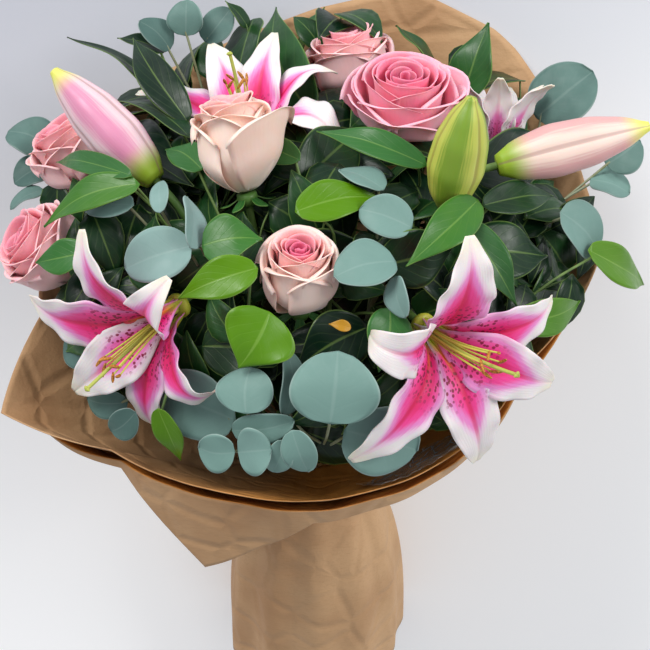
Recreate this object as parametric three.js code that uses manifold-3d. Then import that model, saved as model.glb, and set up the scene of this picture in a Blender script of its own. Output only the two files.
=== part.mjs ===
// A hand-tied mixed bouquet of blush roses, pink lilies, eucalyptus and glossy greens in brown
// kraft paper, laid on its back on a table. Units are millimetres.
//
// The bunch is built in its own frame and then laid down as one group. In that frame the tie is
// at the origin, +Z runs up the stems into the flowers, -Y is the front and +X is the right.
import * as THREE from "three";
import { mergeVertices } from "three/addons/utils/BufferGeometryUtils.js";
import Module from "manifold-3d";

const wasm = await Module();
wasm.setup();

// ---------------------------------------------------------------- driving dimensions
const LIE_TILT = 20; // degrees that the stems rise from the table, tie to flowers
const TABLE_BELOW = 111; // from the tie down to the table, square to it
const CLEAR = 0.35; // air left between two pieces that touch

const EYE_RISE = 40; // degrees above the front, in the bunch's frame, of the view in the picture
const EYE_AIM = V(8, -20, 151); // the point at the middle of the picture
const EYE_AWAY = 1050;
const PICTURE_HALF = 325; // half the picture's side, in its own units
const PICTURE_LENS = 1400; // picture units per unit slope
const DOME_MIDDLE = V(0, 10, 150); // the flowers and leaves lie about this ellipsoid
const DOME_RADII = V(240, 190, 150);

const SLIVER = 0.4; // a detail smaller than this is left out where pieces meet

const STEM_FOOT = -150; // the stems' cut ends
const HEM_FOOT = -228; // the paper skirt's lower edge
const PAPER = 0.8; // two-ply thickness of a kraft sheet
const SKIRT_RADIUS = 77;

// ---------------------------------------------------------------- small helpers
function V(x, y, z) {
  return new THREE.Vector3(x, y, z);
}
const rad = THREE.MathUtils.degToRad;
const mix = THREE.MathUtils.lerp;
const clamp01 = (t) => Math.min(1, Math.max(0, t));
const smooth = (t) => clamp01(t) ** 2 * (3 - 2 * clamp01(t));

// A point round the Z axis, at a turn from the front (-Y) towards the right.
const roundAxis = (turn, r, z) => V(r * Math.sin(rad(turn)), -r * Math.cos(rad(turn)), z);

// A repeatable number from 0 to 1 for any two whole numbers.
function draw(a, b) {
  const s = Math.sin(a * 127.1 + b * 311.7 + 17.3) * 43758.5453;
  return s - Math.floor(s);
}

// The picture's right, up and towards-the-eye directions, in the bunch's frame.
const PICTURE_UP = V(0, Math.sin(rad(EYE_RISE)), Math.cos(rad(EYE_RISE)));
const TO_EYE = V(0, -Math.cos(rad(EYE_RISE)), Math.sin(rad(EYE_RISE)));
const EYE = EYE_AIM.clone().addScaledVector(TO_EYE, EYE_AWAY);

// The point of the dome that shows at a spot of the picture, raised towards the eye by `lift`.
function seen(across, down, lift = 0) {
  const ray = TO_EYE.clone()
    .multiplyScalar(-PICTURE_LENS)
    .add(V(across - PICTURE_HALF, 0, 0))
    .addScaledVector(PICTURE_UP, PICTURE_HALF - down)
    .normalize();
  const from = EYE.clone().sub(DOME_MIDDLE).divide(DOME_RADII);
  const along = ray.clone().divide(DOME_RADII);
  const a = along.dot(along);
  const b = from.dot(along);
  const c = from.dot(from) - 1;
  const inside = Math.max(0, b * b - a * c); // past the dome's edge: where the ray passes nearest
  return EYE.clone().addScaledVector(ray, (-b - Math.sqrt(inside)) / a - lift);
}

// The dome's outward direction at a point.
function outward(point) {
  return point.clone().sub(DOME_MIDDLE).divide(DOME_RADII).divide(DOME_RADII).normalize();
}

// ---------------------------------------------------------------- solids
function solidOf(geometry) {
  geometry.deleteAttribute("normal");
  geometry.deleteAttribute("uv");
  const merged = mergeVertices(geometry, 1e-4);
  return new wasm.Manifold(
    new wasm.Mesh({
      numProp: 3,
      vertProperties: Float32Array.from(merged.attributes.position.array),
      triVerts: Uint32Array.from(merged.index.array),
    }),
  );
}

function geometryOf(points, triangles) {
  const geometry = new THREE.BufferGeometry();
  geometry.setAttribute("position", new THREE.Float32BufferAttribute(points.flatMap((p) => p.toArray()), 3));
  geometry.setIndex(triangles);
  return geometry;
}

// A thin sheet with its middle surface at at(u, v): across cells by up cells, both faces cut
// into triangles alike. A ring sheet closes on itself in u.
function sheet(at, across, up, thick, ring = false) {
  const columns = ring ? across : across + 1;
  const grid = [];
  for (let j = 0; j <= up; j++) {
    for (let i = 0; i < columns; i++) grid.push(at(i / across, j / up));
  }
  const spot = (i, j) => j * columns + (ring ? (i + columns) % columns : i);
  const pick = (i, j) => grid[spot(ring ? i : Math.min(across, Math.max(0, i)), Math.min(up, Math.max(0, j)))];
  const points = [];
  for (const side of [0.5, -0.5]) {
    for (let j = 0; j <= up; j++) {
      for (let i = 0; i < columns; i++) {
        const du = pick(i + 1, j).clone().sub(pick(i - 1, j));
        const dv = pick(i, j + 1).clone().sub(pick(i, j - 1));
        points.push(pick(i, j).clone().addScaledVector(du.cross(dv).normalize(), side * thick));
      }
    }
  }
  const under = columns * (up + 1);
  const faces = [];
  const quad = (a, b, c, d) => faces.push(a, b, c, a, c, d);
  for (let j = 0; j < up; j++) {
    for (let i = 0; i < across; i++) {
      const [a, b, c, d] = [spot(i, j), spot(i + 1, j), spot(i + 1, j + 1), spot(i, j + 1)];
      quad(a, b, c, d);
      faces.push(under + a, under + c, under + b, under + a, under + d, under + c);
    }
    if (!ring) {
      quad(spot(0, j), spot(0, j + 1), under + spot(0, j + 1), under + spot(0, j));
      quad(spot(across, j + 1), spot(across, j), under + spot(across, j), under + spot(across, j + 1));
    }
  }
  for (let i = 0; i < across; i++) {
    quad(spot(i + 1, 0), spot(i, 0), under + spot(i, 0), under + spot(i + 1, 0));
    quad(spot(i, up), spot(i + 1, up), under + spot(i + 1, up), under + spot(i, up));
  }
  return solidOf(geometryOf(points, faces));
}

// A closed solid through a stack of rings that have as many points each, anticlockwise as seen
// from the last ring.
function ringed(rings) {
  const sides = rings[0].length;
  const faces = [];
  for (let k = 0; k + 1 < rings.length; k++) {
    for (let i = 0; i < sides; i++) {
      const [a, b] = [k * sides + i, k * sides + ((i + 1) % sides)];
      faces.push(a, b, b + sides, a, b + sides, a + sides);
    }
  }
  const last = (rings.length - 1) * sides;
  for (let i = 1; i + 1 < sides; i++) faces.push(0, i + 1, i, last, last + i, last + i + 1);
  return solidOf(geometryOf(rings.flat(), faces));
}

// A round bar along a row of points, with a radius for each point.
function bar(points, radii, sides) {
  let side = null;
  const rings = points.map((p, k) => {
    const ahead = points[Math.min(points.length - 1, k + 1)].clone();
    const way = ahead.sub(points[Math.max(0, k - 1)]).normalize();
    side = side ?? (Math.abs(way.z) < 0.9 ? V(0, 0, 1) : V(1, 0, 0));
    side = side.clone().addScaledVector(way, -side.dot(way)).normalize();
    const other = way.clone().cross(side);
    return Array.from({ length: sides }, (_, i) => {
      const turn = (i / sides) * 2 * Math.PI;
      const spoke = side.clone().multiplyScalar(Math.cos(turn)).addScaledVector(other, Math.sin(turn));
      return p.clone().addScaledVector(spoke, radii[k]);
    });
  });
  return ringed(rings);
}

function turned(profile, sides) {
  return solidOf(
    new THREE.LatheGeometry(
      profile.map(([r, z]) => new THREE.Vector2(r, z)),
      sides,
    ).rotateX(Math.PI / 2),
  );
}

// One solid of several that meet. A hollow that they seal between them is filled, and the
// slivers along their meetings are tidied away.
function fuse(pieces) {
  const shells = wasm.Manifold.union(pieces).decompose();
  return shells.reduce((a, b) => (b.volume() > a.volume() ? b : a)).simplify(SLIVER);
}

// A frame that looks along `faces`: its first direction leans to the picture's up, and turns
// run anticlockwise as its face is seen.
function facing(at, faces) {
  const axis = V(...faces).normalize();
  const first = PICTURE_UP.clone().addScaledVector(axis, -PICTURE_UP.dot(axis)).normalize();
  const second = axis.clone().cross(first);
  return new THREE.Matrix4().makeBasis(first, second, axis).setPosition(V(...at));
}

const placedBy = (solid, matrix) => solid.transform(matrix.elements);

// ---------------------------------------------------------------- the model and what is in place
const bouquet = new THREE.Group();
const inPlace = []; // every solid already placed, with its box

function keepClearOf(solid, owner) {
  inPlace.push({ solid, owner, box: solid.boundingBox() });
}

// True where a solid leaves the clearance to everything in place that none of `owners` has.
function isClear(solid, ...owners) {
  const box = solid.boundingBox();
  return inPlace.every(({ solid: other, owner: its, box: beside }) => {
    const apart = [0, 1, 2].some(
      (k) => box.min[k] > beside.max[k] + CLEAR || beside.min[k] > box.max[k] + CLEAR,
    );
    return apart || owners.includes(its) || solid.minGap(other, CLEAR) >= CLEAR;
  });
}

function addNode(name, solid, look) {
  const mesh = solid.getMesh();
  const geometry = new THREE.BufferGeometry();
  geometry.setAttribute("position", new THREE.BufferAttribute(mesh.vertProperties, 3));
  geometry.setIndex(new THREE.BufferAttribute(mesh.triVerts, 1));
  geometry.computeVertexNormals();
  const piece = new THREE.Mesh(geometry, look);
  piece.name = name;
  bouquet.add(piece);
}

const matt = (colour, roughness) => new THREE.MeshStandardMaterial({ color: colour, roughness, metalness: 0 });
const BLUSH = matt(0xf0c0b8, 0.6);
const LILY_PINK = matt(0xd95f9c, 0.5);
const BUD_PINK = matt(0xe3bfb4, 0.5);
const BUD_GREEN = matt(0xa3b04a, 0.5);
const STAMEN = matt(0xa59a2e, 0.6);
const GLOSSY_GREEN = matt(0x3f7a2c, 0.35);
const SILVER_GREEN = matt(0x7fa09c, 0.7);
const STEM_GREEN = matt(0x4c6b33, 0.6);
const KRAFT = matt(0xb08a5e, 0.85);
const FILM = matt(0xb9bcbb, 0.2);
const TWINE = matt(0xc9ab74, 0.9);

// ---------------------------------------------------------------- roses
const ROSES = [
  { name: "front", at: [-9, -86, 222], faces: [0, -0.1, 1], tall: 54, wide: 58, open: 0.3, turn: 80 },
  { name: "upper", at: [-47, -15, 268], faces: [-0.17, 0.36, 0.87], tall: 66, wide: 60, open: 0.15, turn: 35 },
  { name: "open", at: [66, 66, 268], faces: [0.0, -0.08, 1], tall: 50, wide: 74, open: 0.7, turn: 10 },
  { name: "back", at: [34, 146, 246], faces: [-0.2, 0.3, 1], tall: 54, wide: 66, open: 0.4, turn: 60, few: true },
  { name: "far_left", at: [-168, 72, 214], faces: [-0.5, 0.2, 0.8], tall: 56, wide: 64, open: 0.3, turn: 15, few: true },
  { name: "left", at: [-172, -10, 196], faces: [-0.72, -0.1, 0.65], tall: 56, wide: 58, open: 0.5, turn: 50 },
];
const ROSE_HIP = 7.5; // radius of the green hip under a bloom
const HIP_TALL = 9;
// Layers of petals about the furled heart, from inside out: how many, their ring's share of the bloom's radius and
// height, half the angle that one petal spans, and how far its rim rolls out.
const ROSE_LAYERS = [
  { petals: 3, ring: 0.62, high: 1.0, span: 66, roll: 0, across: 2 },
  { petals: 4, ring: 0.97, high: 0.92, span: 50, roll: 0.18, across: 3 },
];

// The middle surface of one petal, in the bloom's own frame.
function rosePetal(rose, layer, k) {
  const { ring, high, span, roll, petals } = ROSE_LAYERS[layer];
  const middle = rad(rose.turn + layer * 47 + (k * 360) / petals);
  const reach = (rose.wide / 2) * ring * (1 + 0.12 * rose.open * layer);
  const height = rose.tall * high * (1 - 0.12 * rose.open * layer);
  return (u, v) => {
    const across = 2 * u - 1;
    const turn = middle + rad(span) * across * mix(0.3, 1, smooth(v * 2));
    const lip = smooth((v - 0.72) / 0.28);
    const cup = Math.sin((Math.PI / 2) * Math.min(1, 0.16 + v * 1.25));
    const out = reach * (cup + (roll + 0.25 * rose.open) * lip + 0.07 * across);
    const rise = height * (v * (1 - 0.16 * across * across) - 0.05 * Math.max(0, roll) * lip);
    return V(out * Math.cos(turn), out * Math.sin(turn), 2 + rise);
  };
}

function roseBloom(rose) {
  const heart = rose.wide * 0.19;
  const [low, lip, pit] = [rose.tall * 0.6, rose.tall * 0.97, rose.tall * 0.8];
  const pieces = [
    turned([[0, 0], [ROSE_HIP, 0], [ROSE_HIP + 3, 6], [heart, low], [heart * 0.85, lip], [heart * 0.6, lip], [0, pit]], 6),
  ];
  ROSE_LAYERS.forEach(({ petals, across }, layer) => {
    if (rose.few && layer === 0) return; // hidden inside by its neighbours
    for (let k = 0; k < petals; k++) pieces.push(sheet(rosePetal(rose, layer, k), across, 2, 1.2));
  });
  return fuse(pieces);
}

for (const rose of ROSES) {
  rose.frame = facing(rose.at, rose.faces);
  rose.bloom = placedBy(roseBloom(rose), rose.frame);
  keepClearOf(rose.bloom, rose);
  addNode("rose_" + rose.name, rose.bloom, BLUSH);
}

// ---------------------------------------------------------------- lilies
// Each tepal: its turn round the face, how far it opens from the flower's axis, the extra curl
// of its tip, its length and its width.
const LILIES = [
  {
    name: "left", at: [-88, -84, 226], faces: [-0.6, -0.79, -0.09], lean: [-4, 6],
    tepals: [[358, 70, 30, 108, 38], [67, 74, 10, 122, 44], [111, 62, 0, 112, 40], [151, 74, 20, 112, 34], [206, 62, 90, 92, 36], [305, 60, 60, 104, 34]],
  },
  {
    name: "right", at: [72, -92, 214], faces: [0.47, -0.86, 0.14], lean: [6, -10],
    tepals: [[10, 72, 20, 104, 46], [85, 60, 120, 104, 38], [146, 80, 15, 122, 42], [210, 78, 15, 122, 42], [256, 72, 15, 116, 44], [290, 88, 20, 112, 36]],
  },
  {
    name: "back", at: [-46, 66, 232], faces: [-0.12, 0.14, 1], lean: [4, 4],
    tepals: [[82, 62, 10, 112, 40], [31, 42, 10, 106, 36], [345, 36, 0, 104, 38], [306, 48, 50, 108, 32], [250, 72, 75, 116, 48], [125, 50, 10, 70, 30]],
  },
  {
    name: "far_right", at: [136, 74, 226], faces: [0.12, 0.55, 0.82], lean: [2, 2], short: 0.55,
    tepals: [[0, 18, 6, 74, 28], [60, 26, 14, 78, 28], [120, 18, 6, 72, 28], [180, 26, 14, 78, 28], [240, 18, 6, 74, 28], [300, 26, 14, 78, 28]],
  },
];
const TEPAL_ROOT = 6; // from the flower's axis to a tepal's foot

// The middle surface of one tepal, in the flower's own frame: it climbs the axis, opens like a
// trumpet, then arches back.
function tepal([turn, open, curl, long, wide], layer) {
  const steps = 24;
  const middle = [{ out: TEPAL_ROOT + 2.2 * layer, up: 3, lean: 8 }];
  for (let k = 1; k <= steps; k++) {
    const t = k / steps;
    const lean = 8 + (open - 8) * smooth(t / 0.62) + (24 + curl) * smooth((t - 0.55) / 0.45);
    const last = middle[k - 1];
    middle.push({
      out: last.out + (long / steps) * Math.sin(rad(lean)),
      up: last.up + (long / steps) * Math.cos(rad(lean)),
      lean,
    });
  }
  return (u, v) => {
    const { out, up, lean } = middle[Math.round(v * steps)];
    const across = 2 * u - 1;
    const half = (wide / 2) * mix(0.26, 1, smooth(v / 0.5)) * (0.14 + 0.88 * Math.sin(Math.PI * v ** 0.85) ** 0.9);
    const channel = half * mix(0.16, 0.08, v) * Math.abs(across) ** 1.5;
    const inward = channel * Math.cos(rad(lean));
    const faceward = channel * Math.sin(rad(lean));
    const [o, s, z] = [out - inward, half * across, up + faceward];
    const [c, n] = [Math.cos(rad(turn)), Math.sin(rad(turn))];
    return V(o * c - s * n, o * n + s * c, z);
  };
}

function lilyBloom(lily) {
  const pieces = [turned([[0, 0], [5, 0], [TEPAL_ROOT + 3, 4], [TEPAL_ROOT + 3, 7], [0, 7]], 8)];
  lily.tepals.forEach((shape, k) => pieces.push(sheet(tepal(shape, k % 2), 2, 4, 1.2)));
  return fuse(pieces);
}

// Six filaments with their anthers and the longer pistil, on one small disc in the throat.
const FILAMENT_LONG = 62;
const PISTIL_LONG = 84;

function lilyHeart(lily) {
  const short = lily.short ?? 1; // a flower that is only half open has a shorter heart
  const bend = (t) => V(lily.lean[0], lily.lean[1], 0).multiplyScalar(t * t);
  const pieces = [turned([[0, 7 + CLEAR], [4, 7 + CLEAR], [4, 10], [0, 10]], 5)];
  for (let k = 0; k < 6; k++) {
    const turn = rad(30 + k * 60);
    const at = (t) => {
      const out = 2 + 9 * short * t ** 1.6;
      return V(out * Math.cos(turn), out * Math.sin(turn), 8 + FILAMENT_LONG * short * t).add(bend(t));
    };
    const anther = V(-Math.sin(turn), Math.cos(turn), 0.3).multiplyScalar(8 * short).add(at(1));
    pieces.push(bar([at(0), at(1), anther], [1, 1.1, 1.4], 3));
  }
  const along = (t) => V(0, 0, 8 + PISTIL_LONG * short * t).add(bend(1.2 * t));
  pieces.push(bar([along(0), along(0.5), along(0.96), along(1)], [1.8, 1.5, 1.5, 3.4], 4));
  return fuse(pieces);
}

for (const lily of LILIES) {
  lily.frame = facing(lily.at, lily.faces);
  lily.bloom = placedBy(lilyBloom(lily), lily.frame);
  lily.heart = placedBy(lilyHeart(lily), lily.frame);
  keepClearOf(lily.bloom, lily);
  keepClearOf(lily.heart, lily.heart);
  addNode("lily_" + lily.name, lily.bloom, LILY_PINK);
  addNode("lily_" + lily.name + "_stamens", lily.heart, STAMEN);
}

// ---------------------------------------------------------------- lily buds
const BUDS = [
  { name: "left", at: [-112, 0, 268], faces: [-0.67, 0.5, 0.52], long: 108, wide: 40, look: BUD_PINK },
  { name: "green", at: [92, -28, 266], faces: [0.15, 0.07, 0.99], long: 84, wide: 40, look: BUD_GREEN },
  { name: "right", at: [130, 8, 275], faces: [0.96, 0.16, 0.19], long: 112, wide: 38, look: BUD_PINK },
];
// A bud's radius along its length, as shares of its widest: three tepals closed edge to edge.
const BUD_PROFILE = [[0, 0.34], [0.1, 0.72], [0.35, 1], [0.62, 0.9], [0.85, 0.56], [1, 0.12]];

function budSolid(bud) {
  const ring = ([t, share]) =>
    Array.from({ length: 9 }, (_, i) => {
      const keel = 1 + 0.06 * Math.cos((i / 3) * 2 * Math.PI);
      return roundAxis(i * 40, (bud.wide / 2) * share * keel, bud.long * t);
    });
  return ringed(BUD_PROFILE.map(ring));
}

for (const bud of BUDS) {
  bud.frame = facing(bud.at, bud.faces);
  bud.bloom = placedBy(budSolid(bud), bud.frame);
  keepClearOf(bud.bloom, bud);
  addNode("lily_bud_" + bud.name, bud.bloom, bud.look);
}

// ---------------------------------------------------------------- leafy stems
// One leaf: the picture spots of its foot and its tip, its width there, how far it stands above
// the dome and its roll about its own length.
const EUCALYPTUS = {
  front_left: [
    [236, 420, 154, 390, 66, -34, 0], [246, 414, 250, 367, 52, 2, 0], [235, 452, 198, 448, 38, 8, 0],
    [238, 452, 271, 450, 46, 8, 0], [232, 430, 294, 422, 30, -4, 0],
  ],
  front_right: [
    [285, 416, 289, 350, 32, -4, 50], [330, 424, 338, 352, 80, 6, 0], [344, 430, 418, 452, 68, -26, 0],
    [284, 440, 272, 473, 24, 4, 0], [292, 430, 308, 473, 32, 6, 0],
  ],
  left: [
    [192, 246, 124, 268, 50, 4, 0], [190, 248, 190, 196, 34, 10, 70], [160, 213, 160, 180, 18, 10, 0],
    [134, 205, 82, 202, 28, 2, 0],
  ],
  middle: [
    [396, 262, 334, 275, 52, 4, 0], [396, 276, 404, 318, 26, 6, 50], [412, 228, 360, 208, 40, -4, 0],
    [384, 190, 340, 168, 40, -10, 0],
  ],
  right: [
    [536, 118, 592, 70, 62, -20, 0], [590, 180, 630, 192, 46, -6, 0], [560, 212, 600, 250, 50, -4, 0],
    [606, 165, 640, 140, 40, -8, 0],
  ],
  far_left: [[52, 150, 8, 130, 44, -22, 0], [50, 165, 14, 182, 36, -20, 0], [44, 190, 10, 208, 30, -16, 0]],
  top: [[186, 36, 186, 0, 36, -26, 0], [205, 42, 230, 8, 30, -30, 0], [170, 50, 140, 20, 32, -30, 0]],
  low_left: [[128, 402, 86, 400, 28, -4, 0], [98, 362, 62, 340, 30, -8, 0], [136, 412, 110, 432, 28, -4, 0]],
};
const GREENS = {
  salal_left: [
    [202, 246, 262, 238, 50, 4, 0], [258, 268, 177, 298, 40, 8, 0], [270, 312, 238, 368, 72, 0, 0],
    [202, 170, 164, 148, 32, -4, 0],
  ],
  salal_middle: [
    [295, 212, 382, 196, 42, -2, 0], [300, 160, 262, 136, 26, 4, 0], [390, 308, 379, 372, 44, -8, 0],
    [351, 328, 329, 324, 11, 4, 0],
  ],
  front_left: [[158, 408, 180, 462, 28, 16, 0], [87, 252, 34, 262, 34, -8, 0], [100, 330, 64, 352, 26, -6, 0]],
  lance_left: [[132, 176, 52, 158, 24, 14, 0], [140, 184, 41, 225, 36, 4, 0]],
  upper_left: [
    [175, 112, 70, 32, 34, -18, 0], [188, 122, 132, 34, 36, -24, 0], [190, 138, 95, 98, 34, -14, 0],
    [165, 52, 118, 36, 26, -28, 0],
  ],
  broad_back: [[312, 116, 272, 2, 54, -46, 0], [248, 28, 226, 0, 18, -28, 0], [300, 60, 322, 6, 34, -26, 0]],
  upper_right: [[462, 100, 487, 22, 44, 0, 0], [427, 166, 316, 128, 32, 6, 0]],
  right: [[478, 200, 408, 264, 40, 2, 0], [465, 222, 519, 305, 38, -2, 0], [482, 206, 556, 194, 34, -14, 0]],
  far_right: [[588, 250, 648, 284, 40, -8, 0], [510, 322, 584, 300, 36, -6, 0]],
};
const UNDER_STOREY = 34; // how deep the leaves lie that close the gaps between the flowers

// Half a leaf's width along its length, as a share of its widest.
const LEAF_OUTLINES = {
  round: (v) => 0.4 + 0.7 * Math.sin(Math.PI * v ** 0.95),
  pointed: (v) => 0.1 + 0.94 * Math.sin(Math.PI * v ** 0.8),
};
const LEAF_THICK = 0.9;

// The middle surface of a leaf from its foot to its tip.
function leafSurface(foot, tip, wide, roll, outline) {
  const along = tip.clone().sub(foot);
  const long = along.length();
  const middle = foot.clone().lerp(tip, 0.5);
  const way = along.clone().normalize();
  const face = outward(middle).multiplyScalar(0.6).addScaledVector(TO_EYE, 0.4);
  face.addScaledVector(way, -face.dot(way)).normalize().applyAxisAngle(way, rad(roll));
  const side = face.clone().cross(way);
  return (u, v) => {
    const half = (wide / 2) * outline(v);
    const across = 2 * u - 1;
    const rise = 0.07 * long * 4 * v * (1 - v) + 0.16 * half * Math.abs(across);
    return foot.clone().addScaledVector(along, v).addScaledVector(side, half * across).addScaledVector(face, rise);
  };
}

// ---------------------------------------------------------------- the stems' places in the tie
// Every stem: its thickness, the point it heads for above the tie, and where it goes from there.
const stems = [];
const behind = (bloom, d) => V(0, 0, -d).applyMatrix4(bloom.frame);
for (const [name, blooms] of [
  ["left", [LILIES[0], BUDS[0]]],
  ["right", [LILIES[1], BUDS[1], BUDS[2], LILIES[3]]],
  ["back", [LILIES[2]]],
]) {
  const ways = blooms.map((bloom) => [behind(bloom, 28), behind(bloom, CLEAR + 0.1)]);
  const aim = ways.reduce((sum, [p]) => sum.add(p), V(0, 0, 0)).multiplyScalar(0.62 / ways.length);
  stems.push({ name: "lily_stem_" + name, radius: 3.6, aim, ways });
}
for (const rose of ROSES) {
  const ways = [[behind(rose, HIP_TALL)]];
  stems.push({ name: "rose_stem_" + rose.name, radius: 2.7, aim: behind(rose, 40), ways, rose });
}
for (const [kind, list, radius, look, outline] of [
  ["greens_", GREENS, 2.2, GLOSSY_GREEN, LEAF_OUTLINES.pointed],
  ["eucalyptus_", EUCALYPTUS, 1.9, SILVER_GREEN, LEAF_OUTLINES.round],
]) {
  for (const [name, leaves] of Object.entries(list)) {
    const feet = leaves.map(([across, down, , , , lift]) => seen(across, down, lift));
    const aim = feet.reduce((sum, p) => sum.add(p), V(0, 0, 0)).multiplyScalar(0.8 / feet.length);
    stems.push({ name: kind + name, radius, aim, ways: [], leaves, deep: [], look, outline });
  }
}

// Leaves deeper in the bunch, on the leafy stem that is nearest, close the gaps.
for (let across = 68; across <= 600; across += 88) {
  for (let down = 60; down <= 440; down += 96) {
    if (((across - 315) / 265) ** 2 + ((down - 230) / 212) ** 2 > 1) continue;
    const turn = 2 * Math.PI * draw(across, down);
    const [dx, dy] = [Math.round(42 * Math.cos(turn)), Math.round(42 * Math.sin(turn))];
    const foot = seen(across - dx, down - dy, -UNDER_STOREY);
    const green = stems.filter(({ look }) => look === GLOSSY_GREEN);
    green.sort((a, b) => a.aim.distanceTo(foot) - b.aim.distanceTo(foot));
    green[0].deep.push([across - dx, down - dy, across + dx, down + dy, 58, -UNDER_STOREY, 0]);
  }
}

// The stems crowd into the tie, each towards the side that it heads for.
const TIE_GAP = 0.45;
const TIE_ROUNDS = 320;
for (const stem of stems) stem.slot = V(stem.aim.x, stem.aim.y, 0).multiplyScalar(110 / stem.aim.z);
for (let round = 0; round < TIE_ROUNDS; round++) {
  stems.forEach((a, i) => {
    if (round < TIE_ROUNDS - 60) a.slot.multiplyScalar(0.99);
    for (const b of stems.slice(i + 1)) {
      const apart = b.slot.clone().sub(a.slot);
      const short = a.radius + b.radius + TIE_GAP - apart.length();
      if (short > 0) {
        apart.setLength(short / 2);
        a.slot.sub(apart);
        b.slot.add(apart);
      }
    }
  });
}
const TIE_RADIUS = Math.max(...stems.map(({ slot, radius }) => slot.length() + radius));
const SHEET_NECK = TIE_RADIUS + 4.3; // inner kraft sheet's radius at the tie

// ---------------------------------------------------------------- kraft paper
// The rim of the inner sheet, round from the front through the right: angle, radius, height.
// The high point at the back and the low one at the left are two corners of the square sheet.
const INNER_RIM = [
  [-180, 262, 288], [-147, 236, 238], [-125, 222, 208], [-98, 208, 178], [-81.8, 204, 168], [-65.5, 245, 138],
  [-49, 190, 124], [-25, 172, 117], [3, 167, 118], [25, 168, 126], [42, 165, 130], [65.5, 166, 152],
  [82, 190, 164], [98, 220, 174], [115, 236, 198], [131, 256, 228], [147, 272, 272], [163.6, 272, 304], [180, 262, 288],
];
// How far up the inner sheet the outer one ends, round from the front: angle and share. Both
// edges show at the front.
const OUTER_SHARE = [
  [-180, 0.82], [-125, 0.82], [-96, 0.84], [-68, 0.8], [-45, 0.9], [-20, 0.9], [25, 0.9], [70, 0.94], [100, 0.84],
  [135, 0.82], [180, 0.82],
];
const NECK_GATHERS = 11;
const PAPER_CELLS = 22; // cells round the sheets: two to a gather
const INNER_ROWS = 5;

// The values that a table of [angle, ...values] gives at a turn, in between its rows.
function rimAt(table, turn) {
  const next = Math.max(1, table.findIndex(([angle]) => angle >= turn));
  const [a, b] = [table[next - 1], table[next]];
  const t = (turn - a[0]) / (b[0] - a[0]);
  return a.slice(1).map((value, k) => mix(value, b[k + 1], t));
}

// Paper pressed flat where the bunch lies on the table, `above` the table's surface.
function onTable(point, above) {
  const floor = (TABLE_BELOW - above + point.z * Math.sin(rad(LIE_TILT))) / Math.cos(rad(LIE_TILT));
  return V(point.x, Math.min(point.y, floor), point.z);
}

const gather = (turn, depth) => depth * Math.cos(rad(turn * NECK_GATHERS));

// A point of the gathered cone of paper: `up` is 0 at the neck and 1 at the inner sheet's rim.
function cone(turn, up, out, above) {
  const [radius, height] = rimAt(INNER_RIM, turn);
  const neck = SHEET_NECK + gather(turn, 1.2);
  const r = mix(neck, radius, up ** 0.86) + out;
  return onTable(roundAxis(turn, r, mix(0, height, up ** 1.12)), above);
}

const innerSheet = (u, v) => cone(-180 + 360 * u, v, 0, 3.4);

// The outer sheet from the skirt's hem (v 0) through the gathered neck to its rim (v 1).
const SKIRT_ROWS = 4;
const OUTER_ROWS = 8;
function outerSheet(u, v) {
  const turn = -180 + 360 * u;
  const neck = SHEET_NECK + 3.6 + gather(turn, 1.2);
  const row = v * OUTER_ROWS;
  if (row < SKIRT_ROWS) {
    const t = 1 - row / SKIRT_ROWS; // 0 at the neck, 1 at the hem
    const fold = gather(turn, 2.6 * t);
    const r = neck + (SKIRT_RADIUS - neck) * (1 - (1 - t) ** 2.6) + fold;
    return onTable(roundAxis(turn, r, HEM_FOOT * t ** 1.15), PAPER / 2);
  }
  const t = (row - SKIRT_ROWS) / (OUTER_ROWS - SKIRT_ROWS);
  const [share] = rimAt(OUTER_SHARE, turn);
  return cone(turn, t * share, 3.6 + 6 * t * t, PAPER / 2);
}

// The outer sheet's loose front edge: how far it hangs from the rim (right, back, up), cell by
// cell from the front left to the front right. It is longest at the corner, a wing.
const WING_CELL = 7;
const WING_DROP = [
  [0, 0, 0], [0, -1, -6], [13.9, -3.9, -78], [9, 3, -47], [0, 4, -16], [0, 4, -14], [0, 3, -10], [0, 2, -6], [0, 0, 0],
];
function wing(u, v) {
  const k = Math.round(u * (WING_DROP.length - 1));
  return outerSheet((WING_CELL + k) / PAPER_CELLS, 1).add(V(...WING_DROP[k]).multiplyScalar(v));
}

// Clear film that lines the paper; its crinkled edge shows at the front right.
const FILM_FROM = 12; // cells of the inner sheet's grid, round and up, that the film lies on
const FILM_UP = 3;
function filmLiner(u, v) {
  const [across, up] = [FILM_FROM + 2 * u, FILM_UP + 1.96 * v];
  const [i, j] = [Math.min(FILM_FROM + 1, Math.floor(across)), Math.min(FILM_UP + 1, Math.floor(up))];
  const row = (k) => innerSheet(i / PAPER_CELLS, k / INNER_ROWS).lerp(innerSheet((i + 1) / PAPER_CELLS, k / INNER_ROWS), across - i);
  const point = row(j).lerp(row(j + 1), up - j);
  const inward = point.clone().setZ(0).setLength(-(1.6 + 1.2 * v * (1 + Math.sin(u * 21))));
  return point.add(inward);
}

const paperInner = sheet(innerSheet, PAPER_CELLS, INNER_ROWS, PAPER, true);
const paperOuter = fuse([sheet(outerSheet, PAPER_CELLS, OUTER_ROWS, PAPER, true), sheet(wing, WING_DROP.length - 1, 2, PAPER)]);
const film = sheet(filmLiner, 6, 2, 0.7);
for (const [name, solid, look] of [
  ["kraft_inner_sheet", paperInner, KRAFT],
  ["kraft_outer_sheet", paperOuter, KRAFT],
  ["clear_film_liner", film, FILM],
]) {
  keepClearOf(solid, name);
  addNode(name, solid, look);
}

// ---------------------------------------------------------------- stems, from their cut ends up
const TIE_HALF = 8; // the stems run side by side this far above and below the tie
const STEM_SPREAD = 2.7;

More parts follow.
